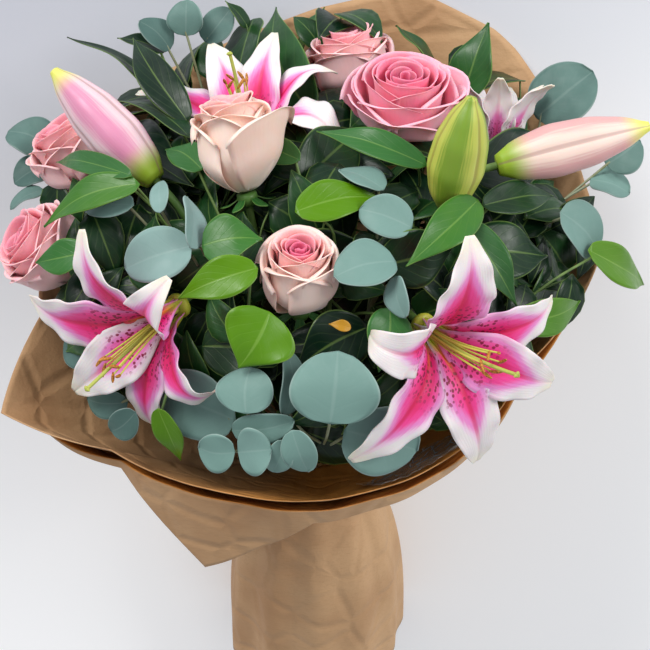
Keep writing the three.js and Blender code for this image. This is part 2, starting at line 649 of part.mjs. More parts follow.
// Ways round what is in place: how far a stem's middle is moved, and how far up it forks.
const STEM_TRIES = [0, 6, 12, 18, 24].flatMap((r) =>
  [1, 0.9, 0.8, 0.7].flatMap((reach) =>
    (r ? [0, 45, 90, 135, 180, 225, 270, 315] : [0]).map((turn) => ({ step: roundAxis(turn, r, 0), reach })),
  ),
);

function stemSolid(stem, { step, reach }) {
  const { slot, radius, aim, ways } = stem;
  const cut = STEM_FOOT + 14 * draw(slot.x, slot.y);
  const head = stem.leaves ? aim.clone().multiplyScalar(reach).add(step) : aim;
  const elbow = slot.clone().lerp(head, 0.55).add(step);
  const trunk = [
    slot.clone().multiplyScalar(STEM_SPREAD).setZ(cut),
    slot.clone().setZ(-TIE_HALF),
    slot.clone().setZ(TIE_HALF),
    elbow,
    head,
  ];
  const pieces = [];
  if (ways.length === 1) {
    pieces.push(bar([...trunk, ...ways[0]], [...trunk, ...ways[0]].map(() => radius), 5));
  } else {
    pieces.push(bar(trunk, trunk.map((p, k) => radius * (k < 4 ? 1 : 0.85)), 5));
    for (const way of ways) pieces.push(bar([head, ...way], [radius * 0.85, radius * 0.75, radius * 0.75], 4));
  }
  if (stem.rose) pieces.push(placedBy(calyx(), stem.rose.frame));
  Object.assign(stem, { head, elbow });
  return fuse(pieces);
}

// The hip under a rose and its five sepals, folded back: four rings of points, alternately
// between the sepals and along them.
function calyx() {
  const rings = [
    [[3, -HIP_TALL - 2], [3, -HIP_TALL - 2]],
    [[5, -7], [21, -HIP_TALL - 1]],
    [[7, -4], [21, -HIP_TALL]],
    [[ROSE_HIP - 0.5, -CLEAR - 0.1], [ROSE_HIP - 0.5, -CLEAR - 0.1]],
  ];
  return ringed(rings.map((ring) => Array.from({ length: 10 }, (_, i) => roundAxis(36 * i, ...ring[i % 2]))));
}

for (const stem of stems) {
  const tried = STEM_TRIES.find((one) => isClear(stemSolid(stem, one), stem));
  stem.pieces = [stemSolid(stem, tried)];
  keepClearOf(stem.pieces[0], stem);
}

// ---------------------------------------------------------------- leaves
// Ways to place a leaf that leave its spot in the picture alone: how much its foot and its tip
// are raised, and how much it is rolled. Its twig may bow to one side.
const LEAF_TRIES = [0, -7, 7, -14, 14, -22, -30, 22, -40, -50].flatMap((lift) =>
  [0, -12, 12].flatMap((tip) => [0, 30, -30].map((roll) => ({ lift, tip, roll }))),
);
const TWIG_BOWS = [0, 12, -12, 24, -24];
const SHORT_LEAF = 76; // picture units
const TWIG = 1.1;
const TWIG_HOLD = 0.25; // how far up a blade's first row of cells its twig reaches
const FORK_STEP = 0.13; // twigs leave a stem this share of its upper part after one another

function leafEnds([a, b, c, d, , lift], tried) {
  return [seen(a, b, lift + tried.lift), seen(c, d, lift + tried.lift + tried.tip)];
}

// Rows of cells along a leaf: fewer where it is deep in the bunch or short in the picture.
function leafRows(stem, leaf) {
  const [a, b, c, d] = leaf;
  return stem.deep.includes(leaf) || Math.hypot(c - a, d - b) < SHORT_LEAF ? 2 : 3;
}

function leafOf(stem, leaf, tried) {
  const [foot, tip] = leafEnds(leaf, tried);
  const [, , , , wide, , roll] = leaf;
  const real = (wide * EYE.distanceTo(foot)) / PICTURE_LENS;
  return leafSurface(foot, tip, real, roll + tried.roll, stem.outline);
}

function leafSolid(stem, leaf, tried) {
  return sheet(leafOf(stem, leaf, tried), 2, leafRows(stem, leaf), LEAF_THICK);
}

// A twig ends inside the blade, a short way along its midrib.
function twigSolid(stem, leaf, tried, bow) {
  const blade = leafOf(stem, leaf, tried);
  const foot = blade(0.5, 0);
  const hold = foot.clone().lerp(blade(0.5, 1 / leafRows(stem, leaf)), TWIG_HOLD);
  const order = [...stem.leaves, ...stem.deep].indexOf(leaf);
  const fork = stem.head.clone().lerp(stem.elbow, FORK_STEP * (order % 7));
  const aside = foot.clone().sub(fork).cross(outward(foot)).setLength(bow);
  const half = foot.clone().lerp(fork, 0.45).addScaledVector(outward(foot), 5).add(aside);
  return bar([fork, half, hold], [TWIG * 1.2, TWIG, TWIG], 3);
}

function placeLeaf(stem, leaf) {
  let bow;
  const tried = LEAF_TRIES.find((one) => {
    if (!isClear(leafSolid(stem, leaf, one), stem)) return false;
    bow = TWIG_BOWS.find((b) => isClear(twigSolid(stem, leaf, one, b), stem, stem.leaves));
    return bow !== undefined;
  });
  if (!tried) return;
  const [blade, twig] = [leafSolid(stem, leaf, tried), twigSolid(stem, leaf, tried, bow)];
  keepClearOf(blade, stem.leaves);
  keepClearOf(twig, stem);
  stem.pieces.push(blade, twig);
}

const leafy = stems.filter(({ leaves }) => leaves);
for (const stem of leafy) stem.leaves.forEach((leaf) => placeLeaf(stem, leaf));
for (const stem of leafy) stem.deep.forEach((leaf) => placeLeaf(stem, leaf));
for (const stem of stems) addNode(stem.name, fuse(stem.pieces), stem.look ?? STEM_GREEN);

// ---------------------------------------------------------------- ties
// A coil of twine about the stems, and one in the gathers of the paper: each is drawn in until
// it touches.
function coil(radius, thick, turns) {
  const tall = thick * turns;
  const corner = [0, 1, 2, 3].map((k) => [radius + (k % 3 ? thick : 0), (k < 2 ? -0.5 : 0.5) * tall]);
  return turned([...corner, corner[0]], 12);
}

function drawnIn(name, from, thick, turns) {
  let radius = from;
  while (!isClear(coil(radius, thick, turns), name)) radius += 0.25;
  keepClearOf(coil(radius, thick, turns), name);
  addNode(name, coil(radius, thick, turns), TWINE);
}
drawnIn("stem_binding_twine", TIE_RADIUS - 2, 1.6, 4);
drawnIn("paper_neck_twine", SHEET_NECK + 3, 2.4, 3);

// ---------------------------------------------------------------- laid on the table
bouquet.rotation.x = -rad(90 - LIE_TILT);
bouquet.position.set(0, 0, TABLE_BELOW);
bouquet.updateMatrixWorld(true);
const footprint = new THREE.Box3().setFromObject(bouquet, true).getCenter(V(0, 0, 0));
bouquet.position.set(-footprint.x, -footprint.y, TABLE_BELOW);

export default bouquet;
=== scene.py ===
# %% [markdown]
# # A hand-tied bouquet, laid on its back
#
# Blush roses, pink lilies, round-leaved eucalyptus and glossy greens stand in a cone of brown
# kraft paper. The solid model already says where each flower, leaf and fold of paper is. This
# lesson dresses it: every bloom gets its full set of petals, every leaf its veins, and every
# surface a finish built from nodes. A flower is a set of thin curved sheets, so most of the
# lesson is one idea: describe the middle surface of a petal by a rule, then give it thickness.

import math

import bpy
import numpy as np
from mathutils import Matrix, Vector, kdtree
from mathutils.bvhtree import BVHTree


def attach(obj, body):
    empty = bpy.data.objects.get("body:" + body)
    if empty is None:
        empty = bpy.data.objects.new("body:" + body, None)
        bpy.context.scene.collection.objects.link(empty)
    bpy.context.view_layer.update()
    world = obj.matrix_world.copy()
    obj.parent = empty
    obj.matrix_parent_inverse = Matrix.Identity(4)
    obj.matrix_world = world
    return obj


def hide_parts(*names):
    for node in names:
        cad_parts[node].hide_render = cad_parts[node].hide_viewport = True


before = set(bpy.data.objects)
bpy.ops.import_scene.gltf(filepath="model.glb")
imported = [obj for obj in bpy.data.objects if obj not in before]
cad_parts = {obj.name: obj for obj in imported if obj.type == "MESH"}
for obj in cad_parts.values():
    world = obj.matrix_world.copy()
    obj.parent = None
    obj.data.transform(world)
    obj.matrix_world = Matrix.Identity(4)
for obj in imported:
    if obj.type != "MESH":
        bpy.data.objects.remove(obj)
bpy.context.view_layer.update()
print("solids:", len(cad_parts))

# %% [markdown]
# ## The bunch's own frame
#
# A florist builds the bunch upright, and it is laid down when it is done. The sizes below are in
# millimetres in that upright frame: the tie is at the origin, +Z runs up the stems and -Y is the
# front. `lay` turns such points into Blender's metres, with the bunch on its back.

# %% Sizes and the turn onto the table
LIE_TILT = math.radians(20)
TABLE_BELOW = 111.0
MIDDLE = (-3.57433, -60.51795)
EYE_RISE = math.radians(40)
EYE_AIM = np.array([8.0, -20.0, 151.0])
EYE_AWAY = 1050.0
PICTURE_HALF = 325.0
PICTURE_LENS = 1400.0
DOME_MIDDLE = np.array([0.0, 10.0, 150.0])
DOME_RADII = np.array([240.0, 190.0, 150.0])
PICTURE_UP = np.array([0.0, math.sin(EYE_RISE), math.cos(EYE_RISE)])
TO_EYE = np.array([0.0, -math.cos(EYE_RISE), math.sin(EYE_RISE)])
EYE = EYE_AIM + TO_EYE * EYE_AWAY


def lay_way(v):
    """A direction of the upright bunch, as it points once the bunch is laid down."""
    v = np.asarray(v, float)
    s, c = math.sin(LIE_TILT), math.cos(LIE_TILT)
    return np.stack([v[..., 0], v[..., 1] * s + v[..., 2] * c, v[..., 2] * s - v[..., 1] * c], -1)


def lay(points):
    return (lay_way(points) + np.array([MIDDLE[0], MIDDLE[1], TABLE_BELOW])) / 1000


def unlay(point):
    x, y, z = np.asarray(point) * 1000 - np.array([MIDDLE[0], MIDDLE[1], TABLE_BELOW])
    s, c = math.sin(LIE_TILT), math.cos(LIE_TILT)
    return np.array([x, y * s - z * c, y * c + z * s])


def unit(v):
    v = np.asarray(v, float)
    return v / np.linalg.norm(v, axis=-1, keepdims=True)


def mix(a, b, t):
    return a + (b - a) * t


def smooth(t):
    t = np.clip(t, 0, 1)
    return t * t * (3 - 2 * t)


def across_along(columns, rows):
    """U from -1 to 1 across a sheet and V from 0 to 1 along it, as grids."""
    return np.meshgrid(np.linspace(-1, 1, columns), np.linspace(0, 1, rows))


def fanned(out, aside, up, turn):
    """Points given as out, aside and up from a flower's axis, turned about that axis."""
    c, s = math.cos(turn), math.sin(turn)
    return np.stack([out * c - aside * s, out * s + aside * c, up + 0 * aside], -1)


def draw(a, b):
    """A repeatable number from 0 to 1 for any two numbers."""
    s = math.sin(a * 127.1 + b * 311.7 + 17.3) * 43758.5453
    return s - math.floor(s)


def seen(across, down, lift=0.0):
    """The point of the flowers' dome that shows at a spot of the picture, raised by `lift`."""
    ray = unit(
        -TO_EYE * PICTURE_LENS
        + np.array([across - PICTURE_HALF, 0, 0])
        + PICTURE_UP * (PICTURE_HALF - down)
    )
    start, along = (EYE - DOME_MIDDLE) / DOME_RADII, ray / DOME_RADII
    a, b, c = along @ along, start @ along, start @ start - 1
    inside = max(0.0, b * b - a * c)
    return EYE + ray * ((-b - math.sqrt(inside)) / a - lift)


def outward(point):
    return unit((point - DOME_MIDDLE) / DOME_RADII / DOME_RADII)


def facing(at, faces):
    """Columns: the flower's first and second directions, its axis, and where it sits."""
    axis = unit(faces)
    first = unit(PICTURE_UP - axis * (PICTURE_UP @ axis))
    return np.column_stack([first, np.cross(axis, first), axis]), np.array(at, float)


def placed(points, place):
    return points @ place[0].T + place[1]


# %% [markdown]
# ## Thin sheets
#
# Petals, leaves and paper are all sheets. `Sheets` collects grids of points, gives each a front,
# a back and an edge, and stores two things that the materials read: a UV that runs across (u)
# and along (v) the sheet, and named numbers such as how deep in the flower a petal sits.

# %% A collector of sheets
def two_sides(grid, thick, ring=False):
    """The front and the back of a sheet whose middle surface is a grid of points."""
    du = np.roll(grid, -1, 1) - np.roll(grid, 1, 1) if ring else np.gradient(grid, axis=1)
    normal = np.cross(du, np.gradient(grid, axis=0))
    normal /= np.maximum(np.linalg.norm(normal, axis=-1, keepdims=True), 1e-9)
    return np.concatenate([(grid + normal * side * thick / 2).reshape(-1, 3) for side in (1, -1)])


def set_trait(mesh, label, values):
    """Gives a mesh a named number at each point, which materials and trees read."""
    layer = mesh.attributes.new(label, "FLOAT", "POINT")
    layer.data.foreach_set("value", np.asarray(values, np.float32))


def uv_mesh(name, points, faces, uvs, traits, closed=False):
    """A smooth mesh with a UV and traits for each point. closed: u runs once round it."""
    mesh = bpy.data.meshes.new(name)
    mesh.from_pydata(lay(points).tolist(), [], [tuple(int(i) for i in face) for face in faces])
    corner = np.zeros(len(mesh.loops), np.int32)
    mesh.loops.foreach_get("vertex_index", corner)
    corner_uv = uvs[corner]
    start = 0
    for face in mesh.polygons if closed else ():
        part = corner_uv[start : start + face.loop_total]
        if np.ptp(part[:, 0]) > 0.5:
            part[part[:, 0] < 0.5, 0] += 1
        start += face.loop_total
    mesh.uv_layers.new(name="sheet").data.foreach_set("uv", corner_uv.ravel().astype(np.float32))
    for label, values in traits.items():
        set_trait(mesh, label, values)
    mesh.polygons.foreach_set("use_smooth", [True] * len(mesh.polygons))
    return mesh


class Sheets:
    def __init__(self, traits=()):
        self.points, self.uvs, self.faces, self.traits = [], [], [], {t: [] for t in traits}
        self.count = 0

    def add(self, grid, thick, ring=False, **traits):
        """grid is rows (v) by columns (u) of points in the upright frame, in millimetres."""
        rows, columns = grid.shape[:2]
        u = np.linspace(0, 1, columns + 1)[:columns] if ring else np.linspace(0, 1, columns)
        uv = np.stack(np.meshgrid(u, np.linspace(0, 1, rows)), -1).reshape(-1, 2)
        index = np.arange(rows * columns).reshape(rows, columns) + self.count
        under = index + rows * columns
        wrap = (lambda m: np.hstack([m, m[:, :1]])) if ring else (lambda m: m)
        top, low = wrap(index), wrap(under)

        def strip(a, b):
            self.faces.append(np.stack([a[:-1], a[1:], b[1:], b[:-1]], -1).reshape(-1, 4))

        for j in range(rows - 1):
            strip(top[j], top[j + 1])
            strip(low[j + 1], low[j])
        strip(low[0], top[0])
        strip(top[-1], low[-1])
        if not ring:
            strip(top[:, 0], low[:, 0])
            strip(low[:, -1], top[:, -1])
        self.points.append(two_sides(grid, thick, ring))
        self.uvs.append(np.concatenate([uv, uv]))
        for name, values in self.traits.items():
            value = traits.get(name, 0.0)
            for side in value if isinstance(value, tuple) else (value, value):
                values.append(np.broadcast_to(np.asarray(side, float), (rows, columns)).ravel())
        self.count += 2 * rows * columns

    def solid(self, points, faces, **traits):
        """Adds points and faces made some other way; they are coloured as the sheet's foot is."""
        self.points.append(np.asarray(points, float))
        self.faces.extend(np.array([f]) + self.count for f in faces)
        self.uvs.append(np.tile([0.5, 0.0], (len(points), 1)))
        for name, values in self.traits.items():
            values.append(np.full(len(points), float(traits.get(name, 0.0))))
        self.count += len(points)

    def mesh(self, name):
        faces = [face for block in self.faces for face in block]
        traits = {label: np.concatenate(values) for label, values in self.traits.items()}
        return uv_mesh(name, np.concatenate(self.points), faces, np.concatenate(self.uvs), traits)


def put(name, data):
    """A new object in the scene."""
    thing = bpy.data.objects.new(name, data)
    bpy.context.scene.collection.objects.link(thing)
    return thing


def show(name, mesh, material, slot, *nodes):
    """Puts a finished mesh in the scene in place of the solids that it stands for."""
    piece = put(name, mesh)
    if not mesh.materials:
        mesh.materials.append(material)
    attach(piece, "root")
    if nodes:
        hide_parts(*nodes)
    return piece


# %% [markdown]
# ## Building finishes from nodes
#
# A petal's colour changes from its foot to its rim, and a leaf's along its veins. The helpers
# below keep such node trees short: `Nodes` wraps one tree, and its methods each add one node.

# %% Helpers for node trees
def srgb(code):
    """A colour written as in a paint chart, turned into the linear values that shaders use."""
    parts = [int(code[i : i + 2], 16) / 255 for i in (1, 3, 5)]
    return (*[p / 12.92 if p <= 0.04045 else ((p + 0.055) / 1.055) ** 2.4 for p in parts], 1.0)


class Nodes:
    def __init__(self, tree):
        self.tree = tree

    def feed(self, socket, value):
        if isinstance(value, bpy.types.NodeSocket):
            self.tree.links.new(value, socket)
        elif value is not None:
            socket.default_value = value

    def add(self, kind, inputs=None, out=0, **settings):
        node = self.tree.nodes.new(kind)
        for key, value in settings.items():
            setattr(node, key, value)
        for key, value in (inputs or {}).items():
            self.feed(node.inputs[key], value)
        return node.outputs[out]

    def math(self, operation, a, b=None, clamp=False):
        return self.add("ShaderNodeMath", {0: a, 1: b}, operation=operation, use_clamp=clamp)

    def plus(self, a, b, clamp=False):
        return self.math("ADD", a, b, clamp)

    def minus(self, a, b):
        return self.math("SUBTRACT", a, b)

    def times(self, a, b):
        return self.math("MULTIPLY", a, b)

    def aside(self, u):
        """How far a place is from the middle line: 0 on it and 1 at either margin."""
        return self.math("ABSOLUTE", self.minus(self.times(u, 2.0), 1.0))

    def range(self, value, low, high, to_low=0.0, to_high=1.0):
        """Turns low..high into to_low..to_high, smoothly."""
        inputs = {"Value": value, "From Min": low, "From Max": high, "To Min": to_low, "To Max": to_high}
        return self.add("ShaderNodeMapRange", inputs, interpolation_type="SMOOTHSTEP")

    def blend(self, factor, a, b):
        """Colour a where the factor is 0, and b where it is 1."""
        return self.add("ShaderNodeMix", {0: factor, 6: a, 7: b}, out=2, data_type="RGBA")

    def ramp(self, value, *stops):
        """Colours set at given values, smoothly joined: stops are (value, colour code)."""
        node = self.tree.nodes.new("ShaderNodeValToRGB")
        points = node.color_ramp.elements
        node.color_ramp.interpolation = "EASE"
        while len(points) < len(stops):
            points.new(0.5)
        for point, (place, code) in zip(points, stops):
            point.position, point.color = place, srgb(code)
        self.feed(node.inputs[0], value)
        return node.outputs[0]

    def noise(self, vector, scale, detail=3.0):
        inputs = {"Vector": vector, "Scale": scale, "Detail": detail, "Roughness": 0.55}
        return self.add("ShaderNodeTexNoise", inputs)

    def cells(self, vector, scale, feature="F1"):
        return self.add("ShaderNodeTexVoronoi", {"Vector": vector, "Scale": scale}, feature=feature)

    def stretch(self, vector, scale):
        return self.add("ShaderNodeMapping", {"Vector": vector, "Scale": scale})

    def number(self, name):
        return self.add("ShaderNodeAttribute", out="Fac", attribute_name=name)

    def trait(self, name, kind="FLOAT"):
        """A named number of the mesh, in a Geometry Nodes tree."""
        return self.add("GeometryNodeInputNamedAttribute", {"Name": name}, data_type=kind)

    def uv(self):
        return self.add("ShaderNodeUVMap", uv_map="sheet")

    def object_place(self):
        return self.add("ShaderNodeTexCoord", out="Object")

    def split(self, vector):
        node = self.tree.nodes.new("ShaderNodeSeparateXYZ")
        self.feed(node.inputs[0], vector)
        return node.outputs

    def group(self, group, **inputs):
        node = self.tree.nodes.new("ShaderNodeGroup")
        node.node_tree = group
        for key, value in inputs.items():
            self.feed(node.inputs[key.replace("_", " ")], value)
        return node.outputs


def opened(tree):
    """A tree, a Nodes on it, the sockets of what it is given and those of its result."""
    given, result = (tree.nodes.new("NodeGroup" + end) for end in ("Input", "Output"))
    return tree, Nodes(tree), given.outputs, result.inputs


def new_group(name, inputs, outputs):
    """A shader node group with its sockets made, opened."""
    tree = bpy.data.node_groups.new(name, "ShaderNodeTree")
    for label, default in inputs.items():
        kind = "NodeSocketVector" if default is None else "NodeSocketFloat"
        socket = tree.interface.new_socket(label, in_out="INPUT", socket_type=kind)
        if default is not None:
            socket.default_value = default
    for label in outputs:
        tree.interface.new_socket(label, in_out="OUTPUT", socket_type="NodeSocketFloat")
    return opened(tree)


def finish(name, colour, roughness, bump=None, strength=0.3, distance=0.0006, **fixed):
    """A Principled material. colour, roughness and bump are functions of the material's Nodes."""
    material = bpy.data.materials.new(name)
    material.use_nodes = True
    n = Nodes(material.node_tree)
    shader = material.node_tree.nodes["Principled BSDF"]
    n.feed(shader.inputs["Base Color"], colour(n) if callable(colour) else colour)
    n.feed(shader.inputs["Roughness"], roughness(n) if callable(roughness) else roughness)
    if bump:
        inputs = {"Height": bump(n), "Strength": strength, "Distance": distance}
        n.feed(shader.inputs["Normal"], n.add("ShaderNodeBump", inputs))
    for key, value in fixed.items():
        shader.inputs[key.replace("_", " ")].default_value = value
    return material


def cloudy(scale, low, high):
    """A roughness that drifts between two values from place to place."""
    return lambda n: n.range(n.noise(n.object_place(), scale), 0.3, 0.7, low, high)


def grain(scale, detail=3.0):
    """A fine, even height."""
    return lambda n: n.noise(n.object_place(), scale, detail)


# %% [markdown]
# ## Two patterns that plants share
#
# Petals carry fine veins that fan out from the foot, and leaves a midrib with side veins that
# sweep towards the tip. Both are node groups that read the sheet's own UV, so that the pattern
# follows the surface however it curls.

# %% Vein groups
petal_veins, n, given, result = new_group("petal veins", {"UV": None, "Count": 26.0}, ["Height"])
u, v, _ = n.split(given["UV"])
fan = n.times(n.minus(u, 0.5), given["Count"])
wander = n.noise(given["UV"], 5.0, 2.0)
lines = n.math("SINE", n.plus(n.times(fan, 6.283), n.times(wander, 6.0)))
fine = n.noise(n.stretch(given["UV"], (60.0, 4.0, 1.0)), 1.0, 3.0)
n.feed(result["Height"], n.plus(n.times(lines, 0.18), fine))

leaf_veins, n, given, result = new_group(
    "leaf veins", {"UV": None, "Pairs": 8.0, "Sweep": 0.35}, ["Midrib", "Side veins", "Height"]
)
u, v, _ = n.split(given["UV"])
aside = n.aside(u)
midrib = n.range(aside, 0.07, 0.015)
along = n.minus(v, n.times(aside, given["Sweep"]))
wobble = n.times(n.noise(given["UV"], 4.0, 2.0), 0.08)
saw = n.math("PINGPONG", n.times(n.plus(along, wobble), given["Pairs"]), 0.5)
side = n.range(saw, 0.10, 0.02)
n.feed(result["Midrib"], midrib)
n.feed(result["Side veins"], side)
grooves = n.plus(midrib, n.times(side, 0.45))
n.feed(result["Height"], n.minus(n.times(n.noise(given["UV"], 18.0), 0.35), grooves))

# %% [markdown]
# ## Roses
#
# A cut rose is a spiral: tight, deep-coloured petals at the heart, and paler ones outside whose
# rims roll back to a blunt point. The heart's deeper pink is partly painted shade, and the rolled
# rims carry a painted highlight. Each petal here follows one rule with a few numbers that grow
# from heart to outside. Turning each petal by the golden angle keeps two rims from lining up, as
# in the real flower.

# %% The roses' places
ROSES = [
    dict(name="front", at=(-9, -86, 222), faces=(0, -0.1, 1), tall=60, wide=52, open=0.12, turn=80,
         heart=1.0, blush=0.10),
    dict(name="upper", at=(-47, -15, 268), faces=(-0.17, 0.36, 0.87), tall=70, wide=56, open=0.05,
         turn=343, heart=0.35, blush=0.0, loose=23),
    dict(name="open", at=(66, 66, 268), faces=(0.0, -0.08, 1), tall=54, wide=68, open=0.75, turn=10,
         heart=0.85, blush=1.0),
    dict(name="back", at=(34, 146, 246), faces=(-0.2, 0.3, 1), tall=58, wide=62, open=0.35, turn=60,
         heart=0.4, blush=0.5),
    dict(name="far_left", at=(-168, 72, 214), faces=(-0.5, 0.2, 0.8), tall=58, wide=60, open=0.3,
         turn=15, heart=0.6, blush=0.5),
    dict(name="left", at=(-172, -10, 196), faces=(-0.72, -0.1, 0.65), tall=58, wide=58, open=0.5,
         turn=50, heart=0.7, blush=0.6),
]
HIP_TALL = 9.0
ROSE_PETALS = 24
GOLDEN_TURN = math.radians(137.5)
CURL_FROM = 0.86  # how far up a petal its rim begins to roll back


def rose_petal(rose, k):
    """The middle surface of the k-th petal, counted from the heart."""
    t = k / (ROSE_PETALS - 1)
    opened = rose["open"] + (0.9 if k == rose.get("loose") else 0)
    uneven = [2 * draw(k + rose["turn"], j) - 1 for j in range(11, 16)]
    U, Vv = across_along(17, 21)
    span = math.radians(mix(105, 64, t**0.6))
    unlike = (0.04 + 0.05 * rose["open"]) * uneven[0] * (1 - t * t)
    reach = rose["wide"] / 2 * mix(0.12, 1.0, t**0.8) * (1 + unlike)
    lower = (0.05 + 0.22 * rose["open"]) * t * t
    height = rose["tall"] * (0.90 + 0.10 * math.sin(math.pi * min(1, t * 1.2)) - lower)
    body = np.minimum(Vv / CURL_FROM, 1.0)
    swell = mix(0.26, 1.0, np.sin(np.pi / 2 * np.minimum(1, body / 0.58)) ** 0.85)
    lean_in = mix(0.20, 0.10, t) * (1 - opened) * smooth((body - 0.5) / 0.5)
    lean_out = opened * 0.42 * t * body**2.2
    ruffle = (0.02 + 0.07 * rose["open"]) * t * np.sin(4.1 * U + 7 * draw(k, 3)) * body**3
    ruffle = ruffle + 0.035 * rose["open"] * t * np.sin(8.3 * U + 7 * draw(k, 6)) * body**5
    overlap = mix(0.12, 0.045, t) * U
    out = reach * (swell * (1 - lean_in) + lean_out + ruffle + overlap)
    crown = 1 - (0.05 + 0.24 * t) * np.abs(U) ** 3 + 0.03 * t * np.exp(-((U / 0.22) ** 2))
    tilt = 1 + (0.07 * uneven[1] * U + 0.05 * uneven[2]) * (1 - 0.4 * t) * body
    rise = height * body * CURL_FROM * crown * tilt
    rolled = np.clip((Vv - CURL_FROM) / (1 - CURL_FROM), 0, 1)
    most = mix(10, 150, smooth(t * 1.1))
    bend = rolled * np.radians(most * (0.55 + 0.45 * np.abs(U)) * (0.8 + 0.4 * draw(k, 5)))
    curl = height * (1 - CURL_FROM) * mix(0.9, 0.45, t)
    out = out + curl * (1 - np.cos(bend)) * 0.75
    rise = rise + curl * np.sin(bend) + curl * rolled * (1 - smooth(t * 1.5)) * 0.6
    middle = math.radians(rose["turn"] + 14 * uneven[3]) + k * GOLDEN_TURN
    turn = middle + span * U * mix(0.93, 1.0, smooth(Vv * 2.2))
    grid = np.stack([out * np.cos(turn), out * np.sin(turn), 2 + rise], -1)
    return placed(grid, rose["place"]), t, Vv


def rose_colour(n):
    """Deeper pink towards the heart, partly the roses' own colour and partly painted shade in the cup; cream
    or pink outside, paler at each petal's foot, with a painted highlight along its rim.
    """
    depth, heart, blush, along = (n.number(t) for t in ("depth", "heart", "blush", "along"))
    outer = n.blend(blush, srgb("#fdd9ca"), srgb("#ffabc0"))
    # painted shade: the middle and centre pinks of the inner petals are partly their own colour and partly
    # the shade deep in the cup
    middle = n.blend(blush, srgb("#fbb0b0"), srgb("#fb7ba0"))
    centre = n.blend(heart, srgb("#f6b2b6"), srgb("#e22f80"))
    body = n.blend(n.range(depth, 0.12, 0.46), centre, middle)
    body = n.blend(n.range(depth, 0.35, 0.80), body, outer)
    # painted highlight: the rim of each petal is lightened where it rolls back into the light
    rim = n.times(n.range(along, 0.72, 1.0), 0.2)
    rim_highlighted = n.blend(rim, body, n.blend(blush, srgb("#ffeade"), srgb("#ffd3dc")))
    foot = n.blend(n.times(n.range(along, 0.38, 0.02), 0.55), rim_highlighted, srgb("#f9e9d2"))
    patchy = n.noise(n.object_place(), 55.0, 4.0)
    return n.blend(n.times(n.range(patchy, 0.4, 0.7), 0.2), foot, srgb("#ffece4"))


rose_petals = finish(
    "rose petals",
    rose_colour,
    cloudy(90.0, 0.5, 0.68),
    lambda n: n.group(petal_veins, UV=n.uv(), Count=22.0)["Height"],
    strength=0.12,
    Sheen_Weight=0.2,
    Subsurface_Weight=0.2,
    Subsurface_Scale=0.003,
)

for rose in ROSES:
    rose["place"] = facing(rose["at"], rose["faces"])
    petals = Sheets(("depth", "heart", "blush", "along"))
    for k in range(ROSE_PETALS):
        grid, t, along = rose_petal(rose, k)
        petals.add(grid, 0.32, depth=t, heart=rose["heart"], blush=rose["blush"], along=along)
    name = "rose_" + rose["name"]
    show(name + "_petals", petals.mesh(name), rose_petals, "rose_petal", name)
print("roses:", len(ROSES), "petals each:", ROSE_PETALS)

# %% [markdown]
# ## Lilies
#
# A lily has six petals in two whorls that climb as a trumpet and arch back. Each is described by
# its midline, found by walking up the petal while the lean from the flower's axis grows, and by a
# width that swells and tapers. The margin ripples and the midrib is a groove.

# %% The lilies' places and their petals' rule
LILIES = [
    dict(name="left", at=(-88, -84, 226), faces=(-0.6, -0.79, -0.09), lean=(-4, 6), tepals=[
        (358, 70, 30, 108, 38), (67, 74, 10, 122, 44), (111, 62, 0, 112, 40),
        (151, 74, 20, 112, 34), (206, 62, 90, 92, 36), (305, 60, 60, 104, 34)]),
    dict(name="right", at=(72, -92, 214), faces=(0.47, -0.86, 0.14), lean=(6, -10), tepals=[
        (10, 72, 20, 104, 46), (85, 60, 120, 104, 38), (146, 80, 15, 122, 42),
        (210, 78, 15, 122, 42), (256, 72, 15, 116, 44), (290, 88, 20, 112, 36)]),
    dict(name="back", at=(-46, 66, 232), faces=(-0.12, 0.14, 1), lean=(4, 4), tepals=[
        (82, 62, 10, 112, 40), (31, 42, 10, 106, 36), (345, 36, 0, 104, 38),
        (306, 48, 50, 108, 32), (250, 72, 75, 116, 48), (125, 50, 10, 70, 30)]),
    dict(name="far_right", at=(136, 74, 226), faces=(0.12, 0.55, 0.82), lean=(2, 2), short=0.55, tepals=[
        (0, 18, 6, 74, 28), (60, 26, 14, 78, 28), (120, 18, 6, 72, 28),
        (180, 26, 14, 78, 28), (240, 18, 6, 74, 28), (300, 26, 14, 78, 28)]),
]
TEPAL_ROOT = 6.0
TEPAL_STEPS = 48


def tepal_grid(shape, layer, seed):
    turn, opens, curl, long, wide = shape
    out, up, lean = [TEPAL_ROOT + 2.2 * layer], [3.0], [8.0]
    for k in range(1, TEPAL_STEPS + 1):
        t = k / TEPAL_STEPS
        lean.append(8 + (opens - 8) * smooth(t / 0.62) + (24 + curl) * smooth((t - 0.55) / 0.45))
        out.append(out[-1] + long / TEPAL_STEPS * math.sin(math.radians(lean[-1])))
        up.append(up[-1] + long / TEPAL_STEPS * math.cos(math.radians(lean[-1])))
    U, Vv = across_along(19, TEPAL_STEPS + 1)
    O, Z, A = (np.array(list_)[:, None] for list_ in (out, up, np.radians(lean)))
    swell = 0.14 + 0.88 * np.sin(np.pi * np.minimum(Vv, 0.999) ** 0.85) ** 0.9
    half = wide / 2 * mix(0.26, 1, smooth(Vv / 0.5)) * swell
    ripple = 0.085 * half * np.abs(U) ** 3 * np.sin(Vv * 31 + 5 * draw(seed, 2) + 1.4 * np.sign(U))
    groove = -1.1 * np.exp(-((U / 0.13) ** 2)) * smooth(Vv / 0.1) * (1 - 0.7 * Vv)
    puff = 1.6 * np.sin(np.pi * np.abs(U)) * smooth(Vv / 0.3) * (1 - Vv)
    lift = half * mix(0.16, 0.08, Vv) * np.abs(U) ** 1.5 + ripple + groove + puff
    o, z = O - lift * np.cos(A), Z + lift * np.sin(A)
    return fanned(o, half * U, z, math.radians(turn))


